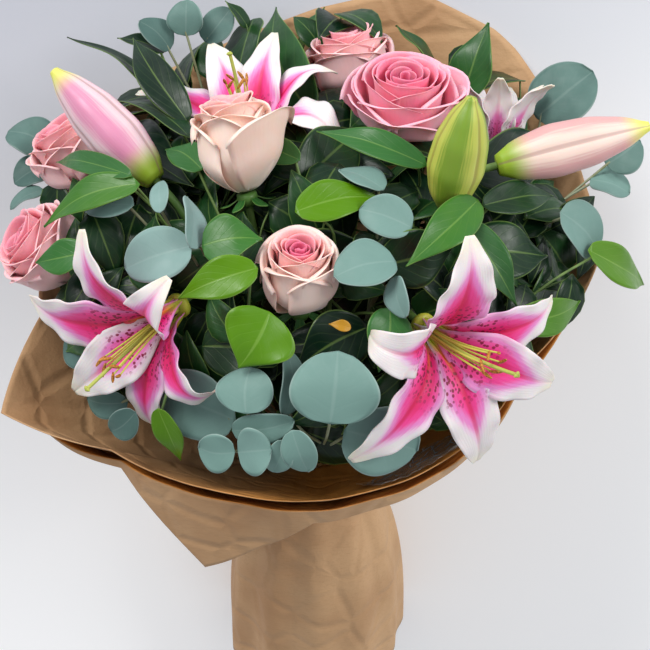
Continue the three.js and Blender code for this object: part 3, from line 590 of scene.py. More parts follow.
def lathe(profile, sides):
    """A closed turned solid about Z: points and faces. The profile starts and ends on the axis."""
    rings = [(r, z) for r, z in profile if r > 0]
    a = np.arange(sides) / sides * 2 * math.pi
    points = [(0, 0, profile[0][1]), (0, 0, profile[-1][1])]
    for r, z in rings:
        points += [(r * math.cos(t), r * math.sin(t), z) for t in a]
    at = lambda ring, i: 2 + ring * sides + i % sides
    faces = []
    for i in range(sides):
        faces.append((0, at(0, i + 1), at(0, i)))
        faces.append((1, at(len(rings) - 1, i), at(len(rings) - 1, i + 1)))
        for k in range(len(rings) - 1):
            faces.append((at(k, i), at(k, i + 1), at(k + 1, i + 1), at(k + 1, i)))
    return np.array(points, float), faces


# %% [markdown]
# The petal's colour is painted by its UV: hot pink along the middle, lilac towards a white margin
# and a cream tip, a crimson midrib, and dark crimson freckles that crowd towards the throat, where
# the petal turns orange and yellow-green.

# %% The lilies' finish and meshes
def lily_spots(n):
    """1 on a freckle, 0 between; freckles keep to the lower half of the petal."""
    u, v, _ = n.split(n.uv())
    aside = n.aside(u)
    cells = n.cells(n.stretch(n.uv(), (14.0, 36.0, 1.0)), 1.0)
    zone = n.times(n.range(v, 0.56, 0.40), n.range(aside, 0.86, 0.6))
    return n.times(n.times(n.range(cells, 0.44, 0.30), zone), n.range(v, 0.10, 0.16))


def lily_colour(n):
    u, v, _ = n.split(n.uv())
    aside = n.aside(u)
    feather = n.times(n.minus(n.noise(n.stretch(n.uv(), (26.0, 3.0, 1.0)), 1.0), 0.5), 0.30)
    edge = n.times(n.range(aside, 0.0, 1.05), 0.68)
    tip = n.times(n.range(v, 0.42, 0.92), 0.80)
    spread = n.plus(n.plus(n.plus(edge, tip), feather), n.number("pale"))
    stops = ((0.12, "#e3186e"), (0.36, "#ee3f92"), (0.58, "#e583c4"), (0.80, "#ebcfe0"), (0.94, "#e8dfdf"))
    body = n.ramp(spread, *stops)
    body = n.blend(n.times(n.range(v, 0.80, 1.0), 0.6), body, srgb("#eae4c6"))
    rib_strength = n.times(n.range(aside, 0.17, 0.02), n.range(v, 0.96, 0.50))
    faded = n.times(n.range(n.number("pale"), 0.7, 0.1), 0.85)
    ribbed = n.blend(n.times(rib_strength, faded), body, srgb("#d3104f"))
    spotted = n.blend(n.times(lily_spots(n), n.range(n.number("pale"), 0.7, 0.3)), ribbed, srgb("#860a38"))
    streak = n.times(n.range(aside, 0.22, 0.05), n.range(v, 0.34, 0.20))
    streaked = n.blend(n.times(streak, 0.85), spotted, srgb("#e8842a"))
    throat = n.times(n.range(v, 0.22, 0.08), n.range(aside, 1.0, 0.3))
    return n.blend(throat, streaked, srgb("#b9bf3c"))


def lily_height(n):
    veins = n.group(petal_veins, UV=n.uv(), Count=16.0)["Height"]
    return n.plus(veins, n.times(lily_spots(n), 1.5))


lily_petals = finish(
    "lily petals",
    lily_colour,
    cloudy(120.0, 0.40, 0.55),
    lily_height,
    strength=0.25,
    Subsurface_Weight=0.15,
    Subsurface_Scale=0.003,
)
PALE_TEPALS = {
    "left": (-0.06, 0.0, 0.26, 0.02, -0.08, -0.06),
    "right": (0.0, 0.30, 0.0, 0.22, 0.0, 0.0),
    "back": (0.0, 0.15, 0.0, 0.1, 0.3, 0.5),
    "far_right": (0.45,) * 6,
}

for lily in LILIES:
    lily["place"] = facing(lily["at"], lily["faces"])
    petals = Sheets(("pale",))
    for k, shape in enumerate(lily["tepals"]):
        grid = placed(tepal_grid(shape, k % 2, k + lily["at"][0]), lily["place"])
        petals.add(grid, 0.8, pale=PALE_TEPALS[lily["name"]][k])
    base, faces = lathe([(0, 0), (5, 0), (8, 2), (9, 4), (9, 6.5), (4, 7), (0, 7)], 24)
    petals.solid(placed(base, lily["place"]), faces, pale=0.4)
    name = "lily_" + lily["name"]
    show(name + "_petals", petals.mesh(name), lily_petals, "lily_petal", name)
print("lilies:", len(LILIES))

# %% [markdown]
# ## Bars that follow paths
#
# Stems, twigs, filaments and strands of twine are all round bars along a line, and there are
# hundreds of them. One Geometry Nodes tree makes them: it takes loose edges whose points carry a
# thickness, and sweeps a circle along each run of edges.

# %% The tree for round bars
def geometry_tree(name, inputs):
    """A Geometry Nodes tree with a geometry going in and out and the named inputs."""
    tree = bpy.data.node_groups.new(name, "GeometryNodeTree")
    tree.interface.new_socket("Geometry", in_out="INPUT", socket_type="NodeSocketGeometry")
    for label, kind in inputs.items():
        tree.interface.new_socket(label, in_out="INPUT", socket_type="NodeSocket" + kind)
    tree.interface.new_socket("Geometry", in_out="OUTPUT", socket_type="NodeSocketGeometry")
    return opened(tree)


def finished_geometry(n, geometry, material):
    """The closing steps of every tree: smooth shading, real instances and a material."""
    real = n.add("GeometryNodeRealizeInstances", {"Geometry": geometry})
    smooth_faces = n.add("GeometryNodeSetShadeSmooth", {"Geometry": real})
    return n.add("GeometryNodeSetMaterial", {"Geometry": smooth_faces, "Material": material})


bars_tree, n, given, result = geometry_tree("round bars along paths", {"Sides": "Int", "Finish": "Material"})
thick = n.trait("thick")
curve = n.add("GeometryNodeMeshToCurve", {"Mesh": given["Geometry"]})
circle = n.add("GeometryNodeCurvePrimitiveCircle", {"Resolution": given["Sides"], "Radius": 1.0})
swept = n.add(
    "GeometryNodeCurveToMesh", {"Curve": curve, "Profile Curve": circle, "Scale": thick, "Fill Caps": True}
)
n.feed(result["Geometry"], finished_geometry(n, swept, given["Finish"]))


def run_tree(source, tree, **inputs):
    """The mesh that a tree makes of a source mesh, as a plain mesh."""
    carrier = put("carrier", source)
    modifier = carrier.modifiers.new("tree", "NODES")
    modifier.node_group = tree
    for item in tree.interface.items_tree:
        if item.in_out == "INPUT" and item.name in inputs:
            modifier[item.identifier] = inputs[item.name]
    graph = bpy.context.evaluated_depsgraph_get()
    mesh = bpy.data.meshes.new_from_object(carrier.evaluated_get(graph))
    bpy.data.objects.remove(carrier)
    bpy.data.meshes.remove(source)
    return mesh


def path_mesh(paths, with_kind=True):
    """Loose edges for a tree. A path is (points, thickness in mm, its kind for the material)."""
    mesh = bpy.data.meshes.new("paths")
    points, edges, thickness, kinds = [], [], [], []
    for path, radius, kind in paths:
        edges += [(len(points) + k, len(points) + k + 1) for k in range(len(path) - 1)]
        points += lay(np.array(path)).tolist()
        thickness += list(np.broadcast_to(np.asarray(radius, float) / 1000, (len(path),)))
        kinds += [kind] * len(path)
    mesh.from_pydata(points, edges, [])
    set_trait(mesh, "thick", thickness)
    if with_kind:
        set_trait(mesh, "kind", kinds)
    return mesh


def show_bars(name, paths, sides, material, slot, *nodes):
    """Round bars along paths, shown in place of the solids that they stand for."""
    mesh = run_tree(path_mesh(paths), bars_tree, Sides=sides, Finish=material)
    show(name, mesh, material, slot, *nodes)


def rounded(points, steps=5, share=0.42):
    """A path with its corners rounded off."""
    points = [np.asarray(p, float) for p in points]
    path = [points[0]]
    for before, corner, after in zip(points, points[1:], points[2:]):
        a, b = mix(corner, before, share), mix(corner, after, share)
        for t in np.linspace(0, 1, steps):
            path.append(mix(mix(a, corner, t), mix(corner, b, t), t))
    return np.array([*path, points[-1]])


# %% [markdown]
# ## The lilies' hearts
#
# Six pale filaments each carry an anther that hangs across the end like the top of a T, furred
# with golden-brown pollen. The pistil is longer and ends in a three-lobed stigma.

# %% Stamens and pistil
def heart_colour(n):
    kind, grain = n.number("kind"), n.noise(n.object_place(), 900.0, 2.0)
    pollen = n.blend(n.range(grain, 0.35, 0.65), srgb("#8a5418"), srgb("#c98a2c"))
    pale = n.blend(n.range(kind, 0.0, 0.5), srgb("#c2c450"), srgb("#a9b24e"))
    return n.blend(n.range(kind, 0.6, 0.9), pale, pollen)


lily_heart = finish("lily heart", heart_colour, 0.55, grain(900.0, 2.0), strength=0.5)


FILAMENT, STIGMA, PISTIL, ANTHER = 0.0, 0.45, 0.5, 1.0  # kinds of path, for the colours


def heart_paths(lily):
    lean, short = np.array([*lily["lean"], 0.0]), lily.get("short", 1.0)
    paths = []
    for k in range(6):
        turn = math.radians(30 + 60 * k)
        t = np.linspace(0, 1, 12)[:, None]
        out = 2 + 6 * short * t**1.6
        spot = np.hstack([out * math.cos(turn), out * math.sin(turn), 8 + 62 * short * t]) + lean * t * t
        paths.append((spot, np.linspace(0.95, 0.6, 12), FILAMENT))
        way = unit([-math.sin(turn), math.cos(turn), 1.1])
        s = np.linspace(-2.4, 7.2, 13)[:, None] * short
        sag = np.array([math.cos(turn), math.sin(turn), 0]) * 0.05 * (s - 2) ** 2
        bulge = 1.2 * np.sin(np.pi * np.linspace(0.04, 0.96, 13)) ** 0.5
        paths.append((spot[-1] + way * s - sag * 0.4, bulge, ANTHER))
    t = np.linspace(0, 1, 14)[:, None]
    pistil = np.hstack([0 * t, 0 * t, 8 + 84 * short * t]) + lean * (1.2 * t) ** 2
    paths.append((pistil, np.linspace(1.7, 1.25, 14), PISTIL))
    for k in range(3):
        turn = math.radians(120 * k)
        way = np.array([math.cos(turn), math.sin(turn), 0.12])
        s = np.linspace(0, 1, 7)[:, None]
        lobe = 1.5 * np.sin(np.pi * np.linspace(0.35, 0.93, 7))
        paths.append((pistil[-1] + way * 2.6 * s, lobe, STIGMA))
    return [(placed(points, lily["place"]), radius, kind) for points, radius, kind in paths]


for lily in LILIES:
    name = "lily_" + lily["name"] + "_stamens"
    show_bars(name + "_fine", heart_paths(lily), 8, lily_heart, "lily_stamen", name)

# %% [markdown]
# ## Buds
#
# A lily bud is three petals closed edge to edge with three more showing between them. The cross
# section is a soft triangle, with a rib down the middle of each petal and a seam where two meet.

# %% Buds
BUDS = [
    dict(name="left", at=(-112, 0, 268), faces=(-0.67, 0.5, 0.52), long=108, wide=40, blush=0.8, green=0.34),
    dict(name="green", at=(92, -28, 266), faces=(0.15, 0.07, 0.99), long=84, wide=40, blush=0.0, green=1.0),
    dict(name="right", at=(130, 8, 275), faces=(0.96, 0.16, 0.19), long=112, wide=38, blush=0.12, green=0.25),
]
BUD_PROFILE = np.array([[0, 0.34], [0.1, 0.72], [0.35, 1], [0.62, 0.9], [0.85, 0.56], [1, 0.12]])


def bud_colour(n):
    u, v, _ = n.split(n.uv())
    turn = n.times(u, 6 * math.pi)
    rib = n.math("MULTIPLY_ADD", n.math("COSINE", turn), 0.5)
    streaks = n.noise(n.stretch(n.uv(), (70.0, 2.5, 1.0)), 1.0, 2.0)
    stripe = n.plus(rib, n.minus(streaks, 0.5), clamp=True)
    pink = n.blend(n.range(stripe, 0.2, 0.95), srgb("#e3c3cf"), srgb("#cd7ba6"))
    beige = n.blend(n.range(stripe, 0.3, 0.9), srgb("#e8cfc0"), srgb("#d9a9a2"))
    body = n.blend(n.number("blush"), beige, pink)
    ends = n.plus(n.range(v, 0.78, 0.97), n.range(v, 0.24, 0.05), clamp=True)
    lime = n.blend(n.range(v, 0.1, 0.6), srgb("#9dbd36"), srgb("#dcdc68"))
    leafy = n.blend(n.range(stripe, 0.25, 0.85), srgb("#b9c052"), srgb("#76962a"))
    seam = n.range(n.math("COSINE", turn), -0.93, -0.995)
    mixed = n.blend(n.range(n.number("green"), 0.6, 0.9), n.blend(ends, body, lime), leafy)
    return n.blend(n.times(seam, 0.5), mixed, n.blend(n.number("green"), srgb("#9c6f78"), srgb("#8a6f3a")))


bud_finish = finish(
    "bud",
    bud_colour,
    cloudy(70.0, 0.38, 0.5),
    lambda n: n.noise(n.stretch(n.uv(), (80.0, 4.0, 1.0)), 1.0, 3.0),
    strength=0.25,
    Subsurface_Weight=0.1,
    Subsurface_Scale=0.003,
)


def bud_share(t):
    """How wide a bud is at t of its length, as a share of its widest."""
    return np.interp(t, *BUD_PROFILE.T)


for bud in BUDS:
    bud["place"] = facing(bud["at"], bud["faces"])
    U, t = np.meshgrid(np.arange(48) / 48, 1 - (1 - np.linspace(0, 1, 41)) ** 1.3)
    share = 0.25 * bud_share(t - 0.05) + 0.5 * bud_share(t) + 0.25 * bud_share(t + 0.05)
    share[-1] = 0.02
    seam = 0.05 * np.exp(-(((U * 3 % 1) - 0.5) / 0.035) ** 2) * np.sin(np.pi * t)
    ribs = 1 + 0.055 * np.cos(6 * math.pi * U) + 0.02 * np.abs(np.cos(9 * math.pi * U)) - seam
    r = bud["wide"] / 2 * share * ribs
    ring = np.stack([r * np.sin(2 * np.pi * U), -r * np.cos(2 * np.pi * U), bud["long"] * t], -1)
    points = placed(ring, bud["place"])
    index = np.arange(U.size).reshape(U.shape)
    around = np.hstack([index, index[:, :1]])
    quads = np.stack([around[:-1, :-1], around[:-1, 1:], around[1:, 1:], around[1:, :-1]], -1)
    faces = [*quads.reshape(-1, 4), index[0, ::-1], index[-1]]
    traits = {label: np.full(U.size, bud[label]) for label in ("blush", "green")}
    uvs = np.stack([U, t], -1).reshape(-1, 2)
    mesh = uv_mesh("bud", points.reshape(-1, 3), faces, uvs, traits, closed=True)
    name = "lily_bud_" + bud["name"]
    show(name + "_fine", mesh, bud_finish, "bud_green" if bud["name"] == "green" else "bud_pink", name)

# %% [markdown]
# ## Leafy stems
#
# A leaf is listed by what a florist sees: where its foot and its tip show in the picture, how
# wide it looks, how far it stands above the dome of flowers, how it is rolled, and its tone from
# 0 (deep) to 1 (fresh), or 1.5 where it has turned yellow. The solid model has already moved some
# leaves a little to keep them apart, so each leaf is looked up in its solid: of the places it
# could have been given, the one whose corners are really there is used.

# %% The lists of leaves
EUCALYPTUS = {
    "front_left": [
        (236, 420, 154, 390, 66, -34, 0, 0.55), (246, 414, 250, 367, 52, 2, 0, 0.4),
        (235, 452, 198, 448, 38, 8, 0, 0.5), (238, 452, 271, 450, 46, 8, 0, 0.6),
        (232, 430, 294, 422, 30, -4, 0, 0.35)],
    "front_right": [
        (285, 416, 289, 350, 32, -4, 50, 0.3), (330, 424, 338, 352, 80, 6, 0, 0.5),
        (344, 430, 418, 452, 68, -26, 0, 0.62), (284, 440, 272, 473, 24, 4, 0, 0.55),
        (292, 430, 308, 473, 32, 6, 0, 0.5)],
    "left": [
        (192, 246, 124, 268, 50, 4, 0, 0.75), (190, 248, 190, 196, 34, 10, 70, 0.85),
        (160, 213, 160, 180, 18, 10, 0, 0.7), (134, 205, 82, 202, 28, 2, 0, 0.6)],
    "middle": [
        (396, 262, 334, 275, 52, 4, 0, 0.45), (396, 276, 404, 318, 26, 6, 50, 0.7),
        (412, 228, 360, 208, 40, -4, 0, 0.55), (384, 190, 340, 168, 40, -10, 0, 0.5)],
    "right": [
        (536, 118, 592, 70, 62, -20, 0, 0.2), (590, 180, 630, 192, 46, -6, 0, 0.5),
        (560, 212, 600, 250, 50, -4, 0, 0.45), (606, 165, 640, 140, 40, -8, 0, 0.25)],
    "far_left": [
        (52, 150, 8, 130, 44, -22, 0, 0.2), (50, 165, 14, 182, 36, -20, 0, 0.1),
        (44, 190, 10, 208, 30, -16, 0, 0.25)],
    "top": [
        (186, 36, 186, 0, 36, -26, 0, 0.3), (205, 42, 230, 8, 30, -30, 0, 0.2),
        (170, 50, 140, 20, 32, -30, 0, 0.1)],
    "low_left": [
        (128, 402, 86, 400, 28, -4, 0, 0.15), (98, 362, 62, 340, 30, -8, 0, 0.1),
        (136, 412, 110, 432, 28, -4, 0, 0.1)],
}
GREENS = {
    "salal_left": [
        (202, 246, 262, 238, 50, 4, 0, 0.62), (258, 268, 177, 298, 40, 8, 0, 1.0),
        (270, 312, 238, 368, 72, 0, 0, 0.92), (202, 170, 164, 148, 32, -4, 0, 0.5)],
    "salal_middle": [
        (295, 212, 382, 196, 42, -2, 0, 0.98), (300, 160, 262, 136, 26, 4, 0, 0.45),
        (390, 308, 379, 372, 44, -8, 0, 0.5), (351, 328, 329, 324, 11, 4, 0, 1.5)],
    "front_left": [
        (158, 408, 180, 462, 28, 16, 0, 0.95), (87, 252, 34, 262, 34, -8, 0, 0.55),
        (100, 330, 64, 352, 26, -6, 0, 0.3)],
    "lance_left": [(132, 176, 52, 158, 24, 14, 0, 0.4), (140, 184, 41, 225, 36, 4, 0, 0.68)],
    "upper_left": [
        (175, 112, 70, 32, 34, -18, 0, 0.05), (188, 122, 132, 34, 36, -24, 0, 0.05),
        (190, 138, 95, 98, 34, -14, 0, 0.12), (165, 52, 118, 36, 26, -28, 0, 0.05)],
    "broad_back": [
        (312, 116, 272, 2, 54, -46, 0, 0.25), (248, 28, 226, 0, 18, -28, 0, 0.15),
        (300, 60, 322, 6, 34, -26, 0, 0.3)],
    "upper_right": [(462, 100, 487, 22, 44, 0, 0, 0.3), (427, 166, 316, 128, 32, 6, 0, 0.52)],
    "right": [
        (478, 200, 408, 264, 40, 2, 0, 0.66), (465, 222, 519, 305, 38, -2, 0, 0.3),
        (482, 206, 556, 194, 34, -14, 0, 0.15)],
    "far_right": [(588, 250, 648, 284, 40, -8, 0, 0.9), (510, 322, 584, 300, 36, -6, 0, 0.8)],
}
UNDER_STOREY = 34  # how far below the dome the listed deep leaves are
UNDER_OVAL = ((315, 230), (265, 212))  # where they are in the picture: middle and half axes
UNDER_HALF, UNDER_WIDE = 42, 58  # half their length and their width in the picture
SLOT_RISE = 110  # how far up its way to its aim a stem's first place in the tie is taken
PUSH_ROUNDS, DRAW_IN_ROUNDS, DRAW_IN = 320, 260, 0.99
STEM_GAP = 0.45
OUTLINES = {
    "round": lambda v: 0.4 + 0.7 * np.sin(np.pi * v**0.95),
    "pointed": lambda v: 0.1 + 0.94 * np.sin(np.pi * v**0.8),
}

# %% [markdown]
# The stems are listed in the order in which they went into the tie. There they push each other
# aside until none overlaps, each towards the side that it heads for: the same simple relaxation
# that the solid model runs gives the same places.

# %% Stems and their places in the tie
def behind(bloom, distance):
    return placed(np.array([0.0, 0, -distance]), bloom["place"])


def in_oval(across, down, middle, reach):
    """Whether a spot of the picture lies in an oval."""
    return ((across - middle[0]) / reach[0]) ** 2 + ((down - middle[1]) / reach[1]) ** 2 < 1


stems = []


def add_stem(name, radius, aim, ways=(), **more):
    """ways: for each flower, the points that its stalk goes on through."""
    stems.append(dict(name=name, radius=radius, aim=aim, ways=list(ways), **more))


for name, blooms in (
    ("left", [LILIES[0], BUDS[0]]),
    ("right", [LILIES[1], BUDS[1], BUDS[2], LILIES[3]]),
    ("back", [LILIES[2]]),
):
    ways = [[behind(b, 28), behind(b, 0.45)] for b in blooms]
    add_stem("lily_stem_" + name, 3.6, sum(w[0] for w in ways) * 0.62 / len(ways), ways)
for rose in ROSES:
    add_stem("rose_stem_" + rose["name"], 2.7, behind(rose, 40), [[behind(rose, HIP_TALL)]], rose=rose)
for kind, lists, radius, outline in (
    ("greens_", GREENS, 2.2, "pointed"),
    ("eucalyptus_", EUCALYPTUS, 1.9, "round"),
):
    for name, leaves in lists.items():
        feet = [seen(leaf[0], leaf[1], leaf[5]) for leaf in leaves]
        aim = sum(feet) * 0.8 / len(feet)
        add_stem(kind + name, radius, aim, leaves=leaves, deep=[], outline=outline)

greens = [s for s in stems if s.get("outline") == "pointed"]
for across in range(68, 601, 88):
    for down in range(60, 441, 96):
        if not in_oval(across, down, *UNDER_OVAL):
            continue
        turn = 2 * math.pi * draw(across, down)
        dx, dy = (math.floor(UNDER_HALF * f(turn) + 0.5) for f in (math.cos, math.sin))
        foot = seen(across - dx, down - dy, -UNDER_STOREY)
        nearest = min(greens, key=lambda s: np.linalg.norm(s["aim"] - foot))
        ends = (across - dx, down - dy, across + dx, down + dy)
        # painted shade: these leaves below the dome get tones under 0.2, near the deepest green
        nearest["deep"].append((*ends, UNDER_WIDE, -UNDER_STOREY, 0, 0.2 * draw(down, across)))

for stem in stems:
    stem["slot"] = np.array([stem["aim"][0], stem["aim"][1], 0.0]) * SLOT_RISE / stem["aim"][2]
for push_round in range(PUSH_ROUNDS):
    for i, a in enumerate(stems):
        if push_round < DRAW_IN_ROUNDS:
            a["slot"] = a["slot"] * DRAW_IN
        for b in stems[i + 1 :]:
            apart = b["slot"] - a["slot"]
            gap = math.hypot(apart[0], apart[1])
            short = a["radius"] + b["radius"] + STEM_GAP - gap
            if short > 0:
                push = apart / gap * (short / 2)
                a["slot"], b["slot"] = a["slot"] - push, b["slot"] + push
TIE_RADIUS = max(np.linalg.norm(s["slot"]) + s["radius"] for s in stems)
print("stems:", len(stems), "tie radius mm:", round(TIE_RADIUS, 5))

# %% [markdown]
# Now the lookup. Every candidate place is turned into the corners that the solid would have, and
# a nearest-neighbour tree of the solid's own corners tells how many are there.

# %% Finding stems, leaves and twigs in their solids
def corner_tree(node):
    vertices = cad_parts[node].data.vertices
    tree = kdtree.KDTree(len(vertices))
    for k, vertex in enumerate(vertices):
        tree.insert(vertex.co, k)
    tree.balance()
    return tree


def found(tree, points, near=1e-4):
    """The share of the points that have a corner of the solid within `near` metres."""
    return sum(tree.find(Vector(p))[2] < near for p in lay(points)) / len(points)


def best_of(tree, candidates, corners):
    scored = [(found(tree, corners(c)), -k, c) for k, c in enumerate(candidates)]
    share, _, choice = max(scored, key=lambda s: s[:2])
    return share, choice


def round_axis(turn, r, z=0.0):
    return np.array([r * math.sin(math.radians(turn)), -r * math.cos(math.radians(turn)), z])


def bar_ring(points, k, radius, sides):
    """The k-th ring of corners of the solid model's bar along these points."""
    side = None
    for j in range(k + 1):
        way = unit(points[min(len(points) - 1, j + 1)] - points[max(0, j - 1)])
        if side is None:
            side = np.array([0.0, 0, 1]) if abs(way[2]) < 0.9 else np.array([1.0, 0, 0])
        side = unit(side - way * (side @ way))
    other = np.cross(way, side)
    turns = np.arange(sides) / sides * 2 * math.pi
    return np.array([points[k] + (side * math.cos(t) + other * math.sin(t)) * radius for t in turns])


STEM_SHARE = 0.5  # the share of the corners at a stem's elbow that have to be there
ELBOW, HEAD = 3, 4  # where a trunk's list of points has its elbow and its upper end
STEM_TRIES = [
    (round_axis(turn, r), reach)
    for r in (0, 6, 12, 18, 24)
    for reach in (1, 0.9, 0.8, 0.7)
    for turn in (range(0, 360, 45) if r else (0,))
]


def trunk_of(stem, tried):
    step, reach = tried
    slot = stem["slot"]
    cut = -150 + 14 * draw(slot[0], slot[1])
    head = stem["aim"] * reach + step if "leaves" in stem else stem["aim"]
    elbow = mix(slot, head, 0.55) + step
    low = np.array([slot[0] * 2.7, slot[1] * 2.7, cut])
    return [low, slot + [0, 0, -8], slot + [0, 0, 8], elbow, head]


def trunk_corners(stem, tried):
    trunk = trunk_of(stem, tried)
    line = trunk + stem["ways"][0] if len(stem["ways"]) == 1 else trunk
    return bar_ring(line, ELBOW, stem["radius"], 5)


def on_branch(stem, t):
    """A point of a trunk's upper stretch, from its elbow (t 0) to its head (t 1)."""
    return mix(stem["trunk"][HEAD], stem["trunk"][ELBOW], 1 - t)


for stem in stems:
    stem["tree"] = corner_tree(stem["name"])
    share, tried = best_of(stem["tree"], STEM_TRIES, lambda c: trunk_corners(stem, c))
    stem["trunk"] = trunk_of(stem, tried)
    if share < STEM_SHARE:
        print("not found:", stem["name"], round(share, 2))

# %% Leaves: their places, then their fine shapes
SOLID_LEAF = 0.9  # how thick a leaf of the solid model is
SHORT_LEAF = 76  # in the picture; a shorter leaf has two rows of cells, not three
LEAF_SHARE = 0.4  # the share of a leaf's corners that have to be there
LEAF_TRIES = [
    (lift, tip, roll)
    for lift in (0, -7, 7, -14, 14, -22, -30, 22, -40, -50)
    for tip in (0, -12, 12)
    for roll in (0, 30, -30)
]


def leaf_basis(leaf, tried):
    lift, tip_lift, roll = tried
    a, b, c, d, wide, up, own_roll, _ = leaf
    foot, tip = seen(a, b, up + lift), seen(c, d, up + lift + tip_lift)
    along = tip - foot
    way = unit(along)
    face = outward(mix(foot, tip, 0.5)) * 0.6 + TO_EYE * 0.4
    face = unit(face - way * (face @ way))
    turn = math.radians(own_roll + roll)
    face = face * math.cos(turn) + np.cross(way, face) * math.sin(turn)
    real = wide * np.linalg.norm(EYE - foot) / PICTURE_LENS
    return foot, tip, face, np.cross(face, way), real


def leaf_rise(long, half, U, Vv):
    return 0.07 * long * 4 * Vv * (1 - Vv) + 0.16 * half * np.abs(U)


def leaf_surface(foot, tip, face, side, Vv, aside, rise):
    return foot + (tip - foot) * Vv[..., None] + side * aside[..., None] + face * rise[..., None]


def leaf_corners(leaf, tried, outline, rows):
    """The corners of the sheet that the solid model would have for this leaf."""
    foot, tip, face, side, wide = leaf_basis(leaf, tried)
    U, Vv = across_along(3, rows + 1)
    half = wide / 2 * OUTLINES[outline](Vv)
    rise = leaf_rise(np.linalg.norm(tip - foot), half, U, Vv)
    return two_sides(leaf_surface(foot, tip, face, side, Vv, half * U, rise), SOLID_LEAF)


lost = 0
for stem in stems:
    stem["placed"] = []
    listed = stem.get("leaves", []) + stem.get("deep", [])
    for order, leaf in enumerate(listed):
        short = math.hypot(leaf[2] - leaf[0], leaf[3] - leaf[1]) < SHORT_LEAF
        rows = 2 if short or order >= len(stem["leaves"]) else 3
        corners = lambda tried: leaf_corners(leaf, tried, stem["outline"], rows)
        share, tried = best_of(stem["tree"], LEAF_TRIES, corners)
        if share > LEAF_SHARE:
            stem["placed"].append((leaf, tried, order, rows))
    lost += len(listed) - len(stem["placed"])
print("leaves without a place:", lost)

# %% [markdown]
# ## The fine leaves
#
# Each found leaf is drawn again with a real outline: a round one for eucalyptus, and one that
# runs out to a point for the glossy greens. It is folded a little along its midrib, its margin
# waves and its tip dips. The upper side shines; veins come from the leaf finish.

# %% Leaf shapes and finishes
def fine_leaf(foot, tip, face, side, wide, kind, seed):
    """The middle surface of a leaf, 25 rows by 13 columns."""
    U, Vv = across_along(13, 25)
    long = np.linalg.norm(tip - foot)
    if kind == "round":
        outline = (np.sin(np.pi * Vv**0.90) ** 0.50) * (1.10 - 0.06 * Vv) + 0.01
    else:
        outline = np.sin(np.pi * Vv**0.74) ** mix(0.68, 1.2, Vv) * (1.04 - 0.22 * Vv**2.5) + 0.012
    half = wide / 2 * outline * 1.04
    fold = 0.15 * half * (np.sqrt(U * U + 0.02) - 0.12)
    waves = 7 if kind == "round" else 11
    wave = 0.035 * wide * np.abs(U) ** 2.5 * np.sin(Vv * waves + 6.3 * draw(seed, 1) + U)
    dip = -0.08 * long * smooth((Vv - 0.5) / 0.5)
    twist = (draw(seed, 4) - 0.5) * 0.45 * U * half * Vv
    rise = 0.07 * long * 4 * Vv * (1 - Vv) + fold + wave * smooth(Vv * 4) + dip * 0.6 + twist
    sweep = (draw(seed, 2) - 0.5) * 0.12 * long * np.sin(np.pi * Vv)
    return leaf_surface(foot, tip, face, side, Vv, half * U + sweep, rise)


def leaf_colour(deep, mid, fresh, rib, veined):
    """tone 0 gives `deep`, 0.5 `mid` and 1 `fresh`; the midrib and margin are drawn over it."""

    def colour(n):
        tone, grain = n.number("tone"), n.noise(n.object_place(), 38.0, 3.0)
        shifted = n.plus(tone, n.times(n.minus(grain, 0.5), 0.25), clamp=True)
        dark = n.blend(n.range(shifted, 0.0, 0.5), srgb(deep), srgb(mid))
        body = n.blend(n.range(shifted, 0.5, 1.0), dark, srgb(fresh))
        veins = n.group(leaf_veins, UV=n.uv(), Pairs=6.0, Sweep=0.45)
        lines = n.plus(veins["Midrib"], n.times(veins["Side veins"], 0.12), clamp=True)
        drawn = n.blend(n.times(lines, veined), body, srgb(rib))
        u, _, _ = n.split(n.uv())
        aside = n.aside(u)
        edged = n.blend(n.times(n.range(aside, 0.94, 1.0), 0.35), drawn, srgb(rib))
        return n.blend(n.range(tone, 1.2, 1.4), edged, srgb("#a87a1c"))

    return colour


def leaf_height(pairs, sweep):
    return lambda n: n.group(leaf_veins, UV=n.uv(), Pairs=pairs, Sweep=sweep)["Height"]


# The green leaves' deepest tone is near black: partly the leaf's own dark green, partly painted shade for the
# leaves deep in the bunch.
green_leaf = finish(
    "green leaf",
    leaf_colour("#0a2214", "#2f642b", "#4f7d00", "#94b65c", 0.24),
    cloudy(130.0, 0.28, 0.44),
    leaf_height(6.0, 0.45),
    strength=0.2,
    Specular_IOR_Level=0.3,
)
eucalyptus_leaf = finish(
    "eucalyptus leaf",
    leaf_colour("#3c5b55", "#6a8c84", "#86a3a0", "#b4c6bf", 0.09),
    cloudy(130.0, 0.58, 0.76),
    leaf_height(4.0, 0.3),
    strength=0.1,
)


def stem_colour(n):
    kind, along = n.number("kind"), n.noise(n.stretch(n.object_place(), (60.0, 20.0, 60.0)), 1.0)
    green = n.blend(n.range(along, 0.3, 0.7), srgb("#3f5f26"), srgb("#6c8b3f"))
    woody = n.blend(n.range(along, 0.3, 0.7), srgb("#7d7a56"), srgb("#9aa08a"))
    return n.blend(kind, green, woody)


stem_finish = finish("stem", stem_colour, 0.55, grain(260.0), strength=0.3)


def twig_path(stem, leaf, tried, order, rows):
    """The middle line of the twig that carries a leaf, in its solid's place."""
    foot, tip, face = leaf_basis(leaf, tried)[:3]
    rise = leaf_rise(np.linalg.norm(tip - foot), 0, 0, 1 / rows)
    hold = mix(foot, mix(foot, tip, 1 / rows) + face * rise, 0.25)
    fork = on_branch(stem, 1 - 0.13 * (order % 7))
    aside = np.cross(foot - fork, outward(foot))

    def bowed(bow):
        return [fork, mix(foot, fork, 0.45) + outward(foot) * 5 + unit(aside) * bow, hold]

    _, bow = best_of(stem["tree"], (0, 12, -12, 24, -24), lambda b: bar_ring(bowed(b), 1, 1.1, 3))
    return bowed(bow)


